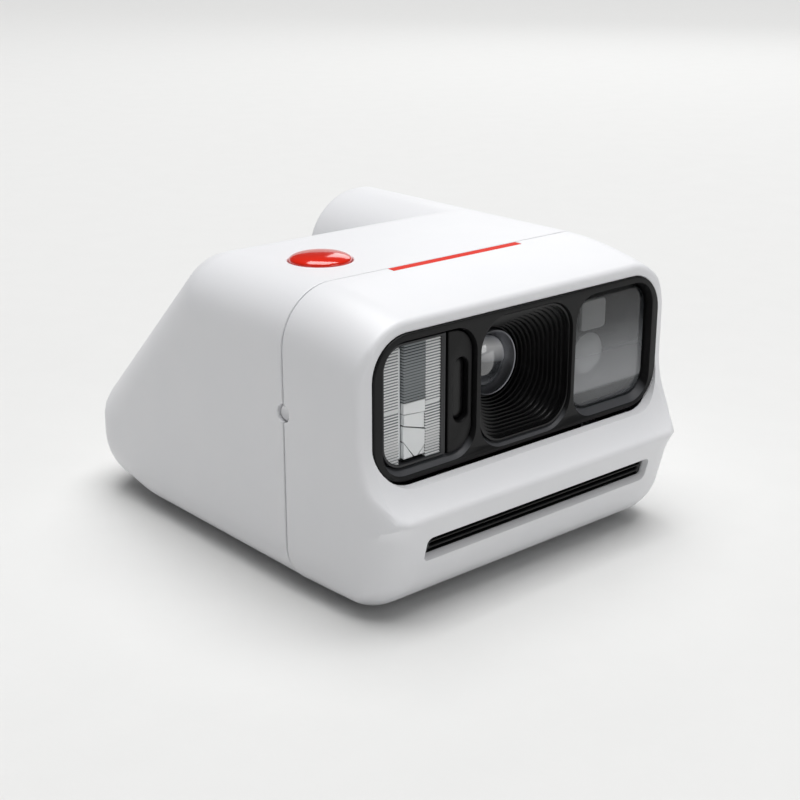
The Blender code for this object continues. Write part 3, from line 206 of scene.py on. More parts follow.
def carved(mesh, cutters, operation="DIFFERENCE"):
    """The mesh with its cutters taken away, or with another exact boolean."""
    blank = bpy.data.objects.new("blank", mesh)
    tool = bpy.data.objects.new("tool", joined("tool", cutters))
    for item in (blank, tool):
        bpy.context.scene.collection.objects.link(item)
    mod = blank.modifiers.new("cut", "BOOLEAN")
    mod.operation = operation
    mod.object = tool
    mod.solver = "EXACT"
    result = bpy.data.meshes.new_from_object(blank.evaluated_get(bpy.context.evaluated_depsgraph_get()))
    if not result.polygons:
        raise RuntimeError(f"{mesh.name}: the cut left nothing")
    result.name = mesh.name
    for item in (blank, tool):
        bpy.data.objects.remove(item)
    return result


def bevelled(mesh, width, angle=30.0, segments=2):
    """Small rounds on the mesh's sharp edges."""
    blank = bpy.data.objects.new("blank", mesh)
    bpy.context.scene.collection.objects.link(blank)
    mod = blank.modifiers.new("edges", "BEVEL")
    mod.width = width * MM
    mod.segments = segments
    mod.limit_method = "ANGLE"
    mod.angle_limit = math.radians(angle)
    mod.harden_normals = False
    result = bpy.data.meshes.new_from_object(blank.evaluated_get(bpy.context.evaluated_depsgraph_get()))
    result.name = mesh.name
    bpy.data.objects.remove(blank)
    return result


def box(name, low, high, edge=0.0):
    """A box between two corners in millimetres, with rounded edges if asked."""
    corners = [(x, y, z) for z in (low[2], high[2])
               for x, y in ((low[0], low[1]), (high[0], low[1]), (high[0], high[1]), (low[0], high[1]))]
    faces = [(3, 2, 1, 0), (4, 5, 6, 7), (0, 1, 5, 4), (1, 2, 6, 5), (2, 3, 7, 6), (3, 0, 4, 7)]
    mesh = mesh_of(name, corners, faces)
    return bevelled(mesh, edge, segments=3) if edge else mesh


def add_piece(name, mesh, finish, body=BODY, replaces=(), angle=30.0):
    """Link a finished mesh as a piece that rides on a body and may stand for frame nodes."""
    mesh.name = name
    mesh.materials.clear()
    mesh.materials.append(finish)
    mesh.shade_smooth()
    if angle:
        mesh.set_sharp_from_angle(angle=math.radians(angle))
    item = bpy.data.objects.new(name, mesh)
    bpy.context.scene.collection.objects.link(item)
    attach(item, body)
    if replaces:
        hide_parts(*replaces)
    return item


# ---- the body's surface, as distances that are 0 on it and negative inside -----------------------
def meet(a, b, radius, lean=0.0):
    """The part inside both a and b, its edge rounded; lean is the cosine between their normals."""
    ea, eb = a + radius, b + radius
    corner = np.sqrt(np.maximum(ea * ea + eb * eb - 2 * lean * ea * eb, 0.0) / (1 - lean * lean)) - radius
    return np.where((ea > lean * eb) & (eb > lean * ea), corner, np.maximum(a, b))


def ramp(value, start, end):
    """0 at start, 1 at end, eased."""
    t = np.clip((value - start) / (end - start), 0.0, 1.0)
    return t * t * (3 - 2 * t)


def front_body(x, y, z):
    """The nose: sides that taper, a hood that falls, a panelled face, a scoop, a lip and a chin."""
    half = WIDTH / 2 - 1.15 * ramp(-y, -SEAM_Y - 6.0, 50.0)
    hood = (z - TOP_Z + HOOD_CURVE * np.maximum(0.0, HOOD_BACK_Y - y) ** 2)
    shell = meet(np.abs(x) - half, hood, 11.3)
    tilt = math.radians(CHIN_TILT)
    chin = (-math.cos(tilt) * (y - NOSE_Y - NOSE_R) - math.sin(tilt) * (z - NOSE_Z)) - NOSE_R
    scoop = SCOOP_R - np.hypot(y - FACE_Y + SCOOP_R, z - SCOOP_Z)
    face = np.where(z > SCOOP_Z, FACE_Y - y, scoop) + 0.3 * np.maximum(0.0, np.abs(x) - 38.0)
    front = meet(chin, face, NOSE_R, 0.449)
    edge = 8.5 + (1.15 - 8.5) * ramp(z, 17.0, 27.0) - 0.2 * ramp(z, 46.0, 54.0)
    return meet(meet(shell, front, edge), -z, 9.6)


def rear_body(x, y, z):
    """The back: flat top, slanted back, rounded heel, and the viewfinder housing standing out of it."""
    side = np.abs(x) - WIDTH / 2
    slope = (z - TOP_Z) * math.cos(SLOPE_ANGLE) + (y - SLOPE_TOP_Y) * math.sin(SLOPE_ANGLE)
    roof = meet(meet(z - TOP_Z, slope, 11.0, math.cos(SLOPE_ANGLE)), y - BACK_Y, 10.0, math.sin(SLOPE_ANGLE))
    body = meet(meet(side, roof, 11.5), -z, 10.0 + 3.0 * ramp(y, 28.0, 42.0))
    centre_z = TOP_Z - FINDER_R
    arch = np.where(z > centre_z, np.hypot(x - FINDER_X, z - centre_z) - FINDER_R, FINDER_X - FINDER_R - x)
    arch = np.where(x > FINDER_X, z - TOP_Z, arch)
    arch = meet(meet(arch, x - WIDTH / 2, 11.3), y - FINDER_BACK_Y, 2.0)
    arch = meet(arch, 20.0 - z, 9.0)
    beside = ramp(-x, -29.0, -24.0) * ramp(y, 12.0, 20.0)
    under = ramp(-z, -40.0, -34.0) * ramp(y, 38.0, 41.0) * ramp(-x, -41.5, -38.0)
    return -meet(-body, -arch, 0.05 + 3.0 * np.maximum(beside, under))


RIM_SAMPLES = 1441    # fine steps round the seam, before the columns are shared out
LEAN_SAMPLES = 520    # fine steps from the seam to the closed end
POLE_SHARE = 0.012    # how near the last row comes to the axis
FAR_OUTSIDE = 130.0   # mm: farther from the centre than any surface
HALVINGS = 26         # halvings of that reach, which leave an error far under a micrometre


def star_mesh(name, distance, axis, centre_y, seam_y, way, columns, rows, inset):
    """A surface walked out from a point on an axis along Y, closing the end that way (+1 or -1) points at.

    Each column is one half plane through the axis. Its points crowd where the surface bends, so that
    small radii get as many rows as the long flats between them."""
    ax, az = axis

    def reach(turn, lean):
        """How far the surface is from the centre in each direction."""
        dx, dy, dz = np.sin(lean) * np.cos(turn), way * np.cos(lean), np.sin(lean) * np.sin(turn)
        low, high = np.zeros_like(lean), np.full_like(lean, FAR_OUTSIDE)
        for _ in range(HALVINGS):
            middle = (low + high) / 2
            outside = distance(ax + middle * dx, centre_y + middle * dy, az + middle * dz) > 0
            high = np.where(outside, middle, high)
            low = np.where(outside, low, middle)
        return np.stack([ax + low * dx, centre_y + low * dy, az + low * dz], -1)

    def crowded(points, count, bend_share):
        """Places along each polyline that share out its length and its turning evenly."""
        step = np.diff(points, axis=-2)
        length = np.linalg.norm(step, axis=-1)
        along = step / np.maximum(length, 1e-9)[..., None]
        turn = np.arccos(np.clip(np.sum(along[..., 1:, :] * along[..., :-1, :], -1), -1, 1))
        turn = np.concatenate([turn[..., :1], turn], -1)
        weight = length / length.sum(-1, keepdims=True)
        weight = weight + bend_share * turn / np.maximum(turn.sum(-1, keepdims=True), 1e-9)
        total = np.concatenate([np.zeros_like(weight[..., :1]), np.cumsum(weight, -1)], -1)
        total /= total[..., -1:]
        wanted = np.linspace(0, 1, count)
        fine = np.linspace(0, 1, points.shape[-2])
        flat = total.reshape(-1, total.shape[-1])
        return np.stack([np.interp(wanted, row, fine) for row in flat]).reshape(total.shape[:-1] + (count,))

    around = np.linspace(0, 2 * math.pi, RIM_SAMPLES)
    rim = reach(around, np.full_like(around, math.pi / 2))
    share = crowded(rim, columns + 1, 0.8)[:-1]
    turns = np.interp(share, np.linspace(0, 1, len(around)), around)
    rim = reach(turns, np.full_like(turns, math.pi / 2))
    across = np.hypot(rim[:, 0] - ax, rim[:, 2] - az)
    last = np.arctan2(across - inset, way * (seam_y - centre_y))
    fine = LEAN_SAMPLES
    lean = last[:, None] * np.linspace(1.0, POLE_SHARE, fine)[None, :]
    turn = np.repeat(turns[:, None], fine, 1)
    places = crowded(reach(turn, lean), rows, 1.1)
    lean = np.stack([np.interp(p, np.linspace(0, 1, fine), row) for p, row in zip(places, lean)])
    grid = reach(np.repeat(turns[:, None], rows, 1), lean)
    rings = [[tuple(p) for p in grid[:, j]] for j in range(rows)]
    return loft(name, rings)


def true_normals(mesh, distance, near=0.03):
    """Give the faces that lie on a surface that surface's own normals, so that highlights run clean."""
    count = len(mesh.vertices)
    co = np.empty(count * 3)
    mesh.vertices.foreach_get("co", co)
    co = co.reshape(-1, 3) / MM
    small = 0.02
    gradient = np.stack([
        distance(*(co + [small if k == i else 0 for k in range(3)]).T)
        - distance(*(co - [small if k == i else 0 for k in range(3)]).T) for i in range(3)], -1)
    gradient /= np.maximum(np.linalg.norm(gradient, axis=1, keepdims=True), 1e-9)
    off = np.abs(distance(*co.T))
    loops = np.empty(len(mesh.loops), int)
    mesh.loops.foreach_get("vertex_index", loops)
    faces = len(mesh.polygons)
    start, total = np.empty(faces, int), np.empty(faces, int)
    mesh.polygons.foreach_get("loop_start", start)
    mesh.polygons.foreach_get("loop_total", total)
    flat = np.empty(faces * 3)
    mesh.polygons.foreach_get("normal", flat)
    flat = flat.reshape(-1, 3)
    owner = np.repeat(np.arange(faces), total)
    mesh.shade_smooth()
    mesh.set_sharp_from_angle(angle=math.radians(30))
    own = np.empty(len(mesh.loops) * 3)
    mesh.corner_normals.foreach_get("vector", own)
    own = own.reshape(-1, 3)
    agrees = np.sum(gradient[loops] * flat[owner], 1) > 0.86
    on = (off[loops] < near) & agrees
    own[on] = gradient[loops[on]]
    mesh.normals_split_custom_set([tuple(n) for n in own])


# ---- finishes ------------------------------------------------------------------------------------
FINISHES = {}


def add_node(tree, kind, values=None, links=None, **settings):
    """One node with its settings, its input values and the sockets that feed it."""
    node = tree.nodes.new(kind)
    for key, value in settings.items():
        setattr(node, key, value)
    for key, value in (values or {}).items():
        node.inputs[key].default_value = value
    for key, source in (links or {}).items():
        tree.links.new(source, node.inputs[key])
    return node


def new_finish(name, shader_values):
    """An empty material with one Principled shader and the piece's own coordinates."""
    mat = bpy.data.materials.new(name)
    mat.use_nodes = True
    tree = mat.node_tree
    tree.nodes.clear()
    shader = add_node(tree, "ShaderNodeBsdfPrincipled", shader_values)
    add_node(tree, "ShaderNodeOutputMaterial", links={"Surface": shader.outputs["BSDF"]})
    coords = add_node(tree, "ShaderNodeTexCoord")
    mat.diffuse_color = shader.inputs["Base Color"].default_value
    FINISHES[name] = mat
    return tree, shader, coords.outputs["Object"]


def per_mm(size):
    """A texture scale whose pattern repeats about once per size in millimetres."""
    return 1.0 / (size * MM)


def cloudy_roughness(tree, shader, place, size, low, high):
    """Roughness that drifts between two values over patches of a size in millimetres."""
    noise = add_node(tree, "ShaderNodeTexNoise", {"Scale": per_mm(size), "Detail": 3.0, "Roughness": 0.6},
                     {"Vector": place})
    spread = add_node(tree, "ShaderNodeMapRange",
                      {"From Min": 0.3, "From Max": 0.7, "To Min": low, "To Max": high},
                      {"Value": noise.outputs["Fac"]})
    tree.links.new(spread.outputs["Result"], shader.inputs["Roughness"])
    return noise


def two_tone(tree, shader, factor, first, second):
    """Base colour mixed between two close tones by a pattern."""
    mix = add_node(tree, "ShaderNodeMix", {6: linear(first), 7: linear(second)}, {0: factor},
                   data_type="RGBA")
    tree.links.new(mix.outputs[2], shader.inputs["Base Color"])


def ladder_of(tree, shader, factor, tones):
    """Drive the base colour through a row of (position, hex tone) stops."""
    ramps = add_node(tree, "ShaderNodeValToRGB", links={"Fac": factor})
    stops = ramps.color_ramp.elements
    stops.remove(stops[1])
    for at, tone in tones:
        stop = stops[0] if at == tones[0][0] else stops.new(at)
        stop.position = at
        stop.color = linear(tone)
    tree.links.new(ramps.outputs["Color"], shader.inputs["Base Color"])


def grained(tree, shader, height, depth, strength=1.0):
    """Bump from a height pattern whose full swing is a depth in millimetres."""
    bump = add_node(tree, "ShaderNodeBump", {"Strength": strength, "Distance": depth * MM},
                    {"Height": height})
    tree.links.new(bump.outputs["Normal"], shader.inputs["Normal"])


def moulded(name, tone, shade, rough, grain, depth, **more):
    """A moulded plastic: tool grain in the surface, drifting gloss and two very close tones."""
    values = {"Base Color": linear(tone), "IOR": 1.53}
    values.update(more)
    tree, shader, place = new_finish(name, values)
    drift = cloudy_roughness(tree, shader, place, 14.0, rough - 0.03, rough + 0.03)
    two_tone(tree, shader, drift.outputs["Fac"], tone, shade)
    fine = add_node(tree, "ShaderNodeTexNoise", {"Scale": per_mm(grain), "Detail": 2.0}, {"Vector": place})
    grained(tree, shader, fine.outputs["Fac"], depth)
    return FINISHES[name]


def drawn_metal(name, tone, shade, rough, along, streak=0.25, **more):
    """A metal with fine tool lines along one axis: bright, a little uneven, never mirror clean."""
    values = {"Base Color": linear(tone), "Metallic": 1.0}
    values.update(more)
    tree, shader, place = new_finish(name, values)
    stretch = [per_mm(streak)] * 3
    stretch["XYZ".index(along)] = per_mm(streak * 40)
    lined = add_node(tree, "ShaderNodeMapping", {"Scale": stretch}, {"Vector": place})
    noise = add_node(tree, "ShaderNodeTexNoise", {"Scale": 1.0, "Detail": 4.0},
                     {"Vector": lined.outputs["Vector"]})
    spread = add_node(tree, "ShaderNodeMapRange", {"To Min": rough - 0.06, "To Max": rough + 0.08},
                      {"Value": noise.outputs["Fac"]})
    tree.links.new(spread.outputs["Result"], shader.inputs["Roughness"])
    two_tone(tree, shader, noise.outputs["Fac"], tone, shade)
    grained(tree, shader, noise.outputs["Fac"], 0.01)
    return FINISHES[name]


def make_ledged_panel(panel):
    """The panel's black ABS, with a painted highlight: a lighter grey on the low window ledge faces that tilt
    upward.
    """
    tree, shader, place = new_finish("black_abs_painted_ledge_highlight", {
        "Base Color": linear(panel), "IOR": 1.53, "Specular IOR Level": 0.22})
    drift = cloudy_roughness(tree, shader, place, 14.0, 0.38, 0.44)
    grained(tree, shader, drift.outputs["Fac"], 0.002)
    # painted highlight: faces tilted upward, fading in below 36 mm and full below 33 mm, turn the lighter
    # grey 505154
    facing = add_node(tree, "ShaderNodeNewGeometry")
    tilt = add_node(tree, "ShaderNodeSeparateXYZ", links={0: facing.outputs["Normal"]})
    spot = add_node(tree, "ShaderNodeSeparateXYZ", links={0: place})
    upward = add_node(tree, "ShaderNodeMapRange", {"From Min": 0.42, "From Max": 0.62},
                      {"Value": tilt.outputs["Z"]})
    low = add_node(tree, "ShaderNodeMapRange", {"From Min": 36.0 * MM, "From Max": 33.0 * MM},
                   {"Value": spot.outputs["Z"]})
    ledge_highlight = add_node(tree, "ShaderNodeMath", links={0: upward.outputs["Result"], 1: low.outputs["Result"]},
                      operation="MULTIPLY")
    two_tone(tree, shader, ledge_highlight.outputs[0], panel, "505154")


def make_finishes():
    colours = bpy.context.scene.instant_camera_colours
    # satin moulded ABS from a spark-eroded tool: soft wide highlights, no sparkle
    moulded("white_moulded_abs", colours.shell, "eeeff2", 0.40, 0.35, 0.004)
    # satin moulded ABS: close to black, with a low broad highlight and no clear reflection
    moulded("black_moulded_abs", colours.panel, "0d0d0e", 0.42, 0.5, 0.002, **{"Specular IOR Level": 0.22})
    # the panel moulding itself: as above, with a painted highlight in a lighter grey on its low,
    # upward-tilted window ledge faces
    make_ledged_panel(colours.panel)
    # the same plastic inside the lens hood, its deeper black painted shade for the hollow, whose step edges
    # still catch a soft line of light
    moulded("matt_black_abs_painted_shade", "070708", "0a0a0b", 0.36, 0.25, 0.003, **{"Specular IOR Level": 0.34})
    # flocked-dark inner moulding: no shine at all
    moulded("inner_black_abs", "17181a", "1d1e20", 0.66, 0.4, 0.012)
    # high-gloss moulded ABS with a clear lacquer: sharp reflections over a deep orange red
    moulded("red_lacquered_abs", colours.button, "e8220c", 0.16, 0.6, 0.0,
            **{"Coat Weight": 0.9, "Coat Roughness": 0.03})
    # pad-printed ink, flat and slightly glossy
    moulded("red_printed_ink", colours.strip, "e02c18", 0.55, 0.3, 0.002, **{"Specular IOR Level": 0.15})
    # natural acetal: waxy and a little cream
    moulded("natural_acetal", "dcdacb", "d2cfbe", 0.36, 0.4, 0.004)
    # vulcanised rubber, ground: dull with a coarse tooth
    moulded("ground_rubber", "1c1c1d", "262627", 0.78, 0.3, 0.03, IOR=1.5)
    # shrink film over a cell: blue and slightly wrinkled
    moulded("shrink_film", "2c5aa0", "27508f", 0.3, 2.5, 0.08, IOR=1.5)
    # heat-shrink sleeve
    moulded("shrink_sleeve", "1a1a20", "22222a", 0.34, 3.0, 0.05, IOR=1.5)
    drawn_metal("brushed_steel", "c4c5c7", "b2b3b6", 0.27, "X")
    drawn_metal("turned_lens_ring", "9d9ea3", "8a8b90", 0.42, "Y")
    drawn_metal("vacuum_aluminised", "eceef0", "dfe1e4", 0.16, "Z", 1.2)
    drawn_metal("front_surface_mirror", "f0f1f2", "ebecee", 0.05, "X", 3.0)
    make_optics()
    make_board_finish()


def make_optics():
    colours = bpy.context.scene.instant_camera_colours
    # clear injection-moulded acrylic: bright edges, faint flow marks
    tree, shader, place = new_finish("clear_acrylic", {
        "Base Color": linear("f4f6f7"), "IOR": 1.49, "Alpha": 0.12, "Coat Weight": 0.6,
        "Coat Roughness": 0.03})
    flow = cloudy_roughness(tree, shader, place, 9.0, 0.05, 0.10)
    grained(tree, shader, flow.outputs["Fac"], 0.01)
    # ribbed acrylic over the flash, with painted light: a painted highlight in bands along the ribs and
    # painted shade between them; the second copy is darker all over, painted shade for the window's middle
    # column
    pitch = bpy.context.scene.instant_camera_panel.rib_pitch
    for name, shade, tone in (("ribbed_acrylic", "7d8486", "ffffff"),
                              ("ribbed_acrylic_painted_shade", "3c4042", "a9aeb0")):
        tree, shader, place = new_finish(name, {
            "Base Color": linear(tone), "IOR": 1.49, "Alpha": 0.95, "Coat Weight": 0.5,
            "Coat Roughness": 0.06})
        # painted highlight and shade in bands across the ribs
        waves = add_node(tree, "ShaderNodeTexWave", {"Scale": math.pi / (10 * pitch), "Distortion": 0.0},
                         {"Vector": place}, wave_type="BANDS", bands_direction="Z", wave_profile="SIN")
        lit = add_node(tree, "ShaderNodeMapRange", {"From Min": 0.08, "From Max": 0.5},
                       {"Value": waves.outputs["Fac"]})
        cloudy_roughness(tree, shader, place, 6.0, 0.10, 0.18)
        two_tone(tree, shader, lit.outputs["Result"], shade, tone)
    # smoked, half-silvered finder glass with a painted reflection: dark above, paler towards its foot, with a
    # darker strip at the very foot
    tree, shader, place = new_finish("finder_glass_painted_reflection", {
        "Base Color": linear(colours.glass), "IOR": 1.52, "Alpha": 0.6,
        "Coat Weight": 0.4, "Coat Roughness": 0.04})
    # painted reflection: the glass's tone is set by height alone
    split = add_node(tree, "ShaderNodeSeparateXYZ", links={0: place})
    fall = add_node(tree, "ShaderNodeMapRange", {"From Min": 28.5 * MM, "From Max": 52.0 * MM},
                    {"Value": split.outputs["Z"]})
    ladder_of(tree, shader, fall.outputs["Result"], (
        (0.0, "5c5e61"), (0.14, "6b6d70"), (0.17, "b4b6b9"), (0.45, "8f9194"), (0.72, "3c3e41"),
        (1.0, "0a0b0c")))
    cloudy_roughness(tree, shader, place, 12.0, 0.10, 0.16)
    # coated optical glass: almost black in its depth, with a bright first surface and a painted reflection
    # whose tone climbs with height, leaning a little with x, from a light foot through dark grey to a bright
    # band high up
    tree, shader, place = new_finish("lens_glass_painted_reflection", {
        "Base Color": linear("20242a"), "IOR": 1.6, "Coat Weight": 1.0, "Coat Roughness": 0.02,
        "Specular IOR Level": 0.9})
    cloudy_roughness(tree, shader, place, 5.0, 0.05, 0.09)
    # painted reflection: base colour from height, tilted by x
    split = add_node(tree, "ShaderNodeSeparateXYZ", links={0: place})
    rise = add_node(tree, "ShaderNodeMath", {1: 0.16}, {0: split.outputs["X"], 2: split.outputs["Z"]},
                    operation="MULTIPLY_ADD")
    climb = add_node(tree, "ShaderNodeMapRange",
                     {"From Min": (LENS_Z - 5.2) * MM, "From Max": (LENS_Z + 5.2) * MM},
                     {"Value": rise.outputs[0]})
    ladder_of(tree, shader, climb.outputs["Result"], (
        (0.0, "84868a"), (0.12, "5a5c60"), (0.3, "3c3e41"), (0.5, "505256"), (0.54, "8d8f93"),
        (0.66, "c9cacd"),
        (0.8, "f6f6f7"), (0.93, "b4b5b8"), (1.0, "55575b")))
    # display glass: near black
    tree, shader, place = new_finish("display_glass", {"Base Color": linear("0c0d10"), "IOR": 1.5})
    cloudy_roughness(tree, shader, place, 6.0, 0.08, 0.14)


def make_board_finish():
    # glass-fibre board under green solder mask: a faint weave and copper tracks below the lacquer
    tree, shader, place = new_finish("solder_masked_board", {"Base Color": linear("0f4a2c"), "IOR": 1.5,
                                                              "Coat Weight": 0.4, "Coat Roughness": 0.15})
    tracks = add_node(tree, "ShaderNodeTexBrick", {"Scale": per_mm(3.0), "Mortar Size": 0.06,
                      "Color1": linear("125636"), "Color2": linear("0e4428"), "Mortar": linear("3d8a52")},
                      {"Vector": place})
    tree.links.new(tracks.outputs["Color"], shader.inputs["Base Color"])
    cloudy_roughness(tree, shader, place, 1.2, 0.32, 0.46)


# which finish each carried-over frame node wears, by its material slot
SLOT_FINISH = {
    "white_shell": "white_moulded_abs", "black_panel": "black_moulded_abs", "dark_inner": "inner_black_abs",
    "red_button": "red_lacquered_abs", "accent_red": "red_printed_ink", "clear_window": "clear_acrylic",
    "finder_glass": "finder_glass_painted_reflection", "lens_glass": "lens_glass_painted_reflection", "silvered": "vacuum_aluminised",
    "mirror_glass": "front_surface_mirror", "steel_parts": "brushed_steel", "roller_rubber": "ground_rubber",
    "gear_plastic": "natural_acetal", "circuit_board": "solder_masked_board",
    "display_panel": "display_glass",
    "battery_wrap": "shrink_film", "capacitor_sleeve": "shrink_sleeve",
}


# ---- openings ---------------------------------------------------------------------------------------
def panel_outline(grow=0.0):
    return rounded((-37.8 - grow, 26.0 - grow), (37.8 + grow, 53.65 + grow), 7.8 + grow, 10)


def window_outline(side):
    """The outline of a side window in the panel, as a function of how far it grows."""
    x0, x1 = sorted((side * 13.5, side * 35.6))

    def outline(grow=0.0):
        return rounded((x0 - grow, 28.3 - grow), (x1 + grow, 52.1 + grow), 5.0 + grow, 10)
    return outline


def hood_outline(grow=0.0):
    return rounded((-12.0 - grow, 27.9 - grow), (12.0 + grow, 52.4 + grow), 6.0 + grow, 10)


def sagging(outline, middle, share=0.28, fade=11.0):
    """An outline that grows fully along its bottom and by a share elsewhere, over the height fade."""
    def grown(grow=0.0):
        return [(x, z - grow * (1 - share) * ramp(middle - z, -0.36 * fade, fade)) for x,
                z in outline(grow * share)]
    return grown


def ledge_levels(depth, ledge, rise=2.0):
    """(grow, height) levels of a cutter whose mouth is a flat slanted ledge with eased edges."""
    return [(0.0, -depth), (0.0, -1.45 * ledge), (0.04 * ledge, -1.36 * ledge), (0.93 * ledge, -0.07 * ledge),
            (ledge, 0.0), (ledge, rise)]


def front_mouth(name, outline, face_y, depth, lip, rise=12.0):
    """A cutter along Y whose mouth is rounded where it meets the plane y = face_y."""
    return put(stacked(name, outline, mouth_levels(depth, lip, rise=rise)), (0, face_y, 0), FACING_FRONT)


def slot_turn():
    return Matrix.Rotation(math.radians(CHIN_TILT), 4, "X") @ FACING_FRONT


SLOT_AT = (0.0, -49.73, 14.55)


def slot_outline(grow=0.0):
    return rounded((-30.15 - grow, -2.12 - grow), (30.15 + grow, 2.12 + grow), 1.0 + grow, 5)


def lug_cutters(radius=1.8):
    return [put(stacked("lug_hole", lambda g: circle(radius + g, 32), mouth_levels(5.0, 0.25)),
                (side * 42.0, SEAM_Y + 0.15, 36.0), Matrix.Rotation(math.radians(90 * side), 4, "Y"))
            for side in (-1, 1)]


def shell_mesh(name, body, axis, way, wall=2.0):
    """The makings of a closed shell of a body: its outer surface, and the same surface one wall in, to be
    taken away from it.
    """
    sizes = bpy.context.scene.instant_camera_shell
    seam = SEAM_Y if way < 0 else SEAM_Y + SEAM_GAP
    centre = seam + way * 6.0

    def outer(x, y, z):
        return meet(body(x, y, z), way * (seam - y), sizes.seam_round / MM)

    def inner(x, y, z):
        return meet(body(x, y, z) + wall, way * (seam - way * 1.0 - y), 0.1)

    skin = star_mesh(name, outer, axis, centre, seam, way, sizes.columns, sizes.rows, 2.6)
    hollow = star_mesh("hollow", inner, axis, centre, seam - way * 1.0, way, 120, 70, 2.6)
    return skin, hollow, outer


class FrontShell(bpy.types.Operator):
    """Build the front shell with its panel opening, scoop, print slot and chin"""
    bl_idname = "instant_camera.front_shell"
    bl_label = "Front Shell"

    def execute(self, context):
        lip = context.scene.instant_camera_shell.lip / MM
        skin, hollow, outer = shell_mesh("front_shell_skin", front_body, (0.0, 38.0), -1)
        cutters = [hollow, front_mouth("panel_opening", lambda g: panel_outline(g + 0.08), FACE_Y, 10.0, lip)]
        cutters.append(put(stacked("slot_opening", sagging(slot_outline, 0.0, 0.3, 1.0),
                                   ledge_levels(6.0, 0.8)),
                           SLOT_AT, slot_turn()))
        cutters.append(box("door_opening", (-29.7, -31.3, -1.0), (29.7, SEAM_Y + 1.0, 2.6)))
        cutters.append(box("strip_pocket", (-17.0, SEAM_Y - 2.05, TOP_Z - 0.6),
                           (17.0, SEAM_Y - 0.12, TOP_Z + 1.0)))
        mesh = carved(skin, cutters[:1])
        mesh = carved(mesh, cutters[1:])
        mesh = carved(mesh, lug_cutters())
        item = add_piece("front_shell_skin", mesh, FINISHES["white_moulded_abs"],
                         replaces=["front_shell"], angle=0)
        true_normals(item.data, outer)
        return {"FINISHED"}


class RearShell(bpy.types.Operator):
    """Build the rear shell with its slanted back and viewfinder housing"""
    bl_idname = "instant_camera.rear_shell"
    bl_label = "Rear Shell"

    def execute(self, context):
        skin, hollow, outer = shell_mesh("rear_shell_skin", rear_body, EYE, 1)
        round_hole = mouth_levels(4.5, 0.3)
        cutters = [put(stacked("shutter_hole", lambda g: circle(6.4 + g, 64), mouth_levels(4.0, 0.35)),
                       (-21.9, -9.35, TOP_Z))]
        cutters.append(put(stacked("eye_hole", lambda g: circle(EYE_R - 1.8 + g, 64), mouth_levels(4.0, 0.3)),
                           (EYE[0], FINDER_BACK_Y, EYE[1]), FACING_BACK))
        for x in (-23.0, -11.0):
            cutters.append(put(stacked("key_hole", lambda g: circle(3.7 + g, 48), round_hole),
                               on_slope(x, KEY_ALONG), ON_SLOPE))
        cutters.append(put(stacked("light_hole", lambda g: circle(0.9 + g, 24), mouth_levels(4.5, 0.15)),
                           on_slope(-17.0, KEY_ALONG), ON_SLOPE))
        cutters.append(put(stacked("counter_hole",
                                   lambda g: rounded((-4.7 - g, -3.3 - g), (4.7 + g, 3.3 + g), 0.5 + g),
                                   round_hole), on_slope(3.0, KEY_ALONG), ON_SLOPE))
        to_side = Matrix.Rotation(math.radians(90), 4, "Y")
        cutters.append(put(stacked("usb_hole",
                                   lambda g: rounded((-1.9 - g, -4.8 - g), (1.9 + g, 4.8 + g), 1.5 + g),
                                   mouth_levels(4.0, 0.3)), (42.0, 25.0, 24.0), to_side))
        cutters.append(put(stacked("latch_hole",
                                   lambda g: rounded((-3.3 - g, -7.3 - g), (3.3 + g, 6.3 + g), 0.6 + g),
                                   mouth_levels(4.0, 0.3)), (42.0, -4.0, 20.0), to_side))
        cutters.append(box("door_opening", (-29.7, SEAM_Y - 1.0, -1.0), (29.7, 37.3, 2.6)))
        down = Matrix.Rotation(math.radians(180), 4, "X")
        for x in (-33.8, 33.8):
            for y in (-14.0, 27.0):
                cutters.append(put(stacked("screw_hole", lambda g: circle(1.8 + g, 32),
                                           mouth_levels(4.0, 0.2)),
                                   (x, y, 0.0), down))
        mesh = carved(skin, [hollow])
        mesh = carved(mesh, cutters)
        mesh = carved(mesh, lug_cutters())
        item = add_piece("rear_shell_skin", mesh, FINISHES["white_moulded_abs"],
                         replaces=["rear_shell"], angle=0)
        true_normals(item.data, outer)
        return {"FINISHED"}


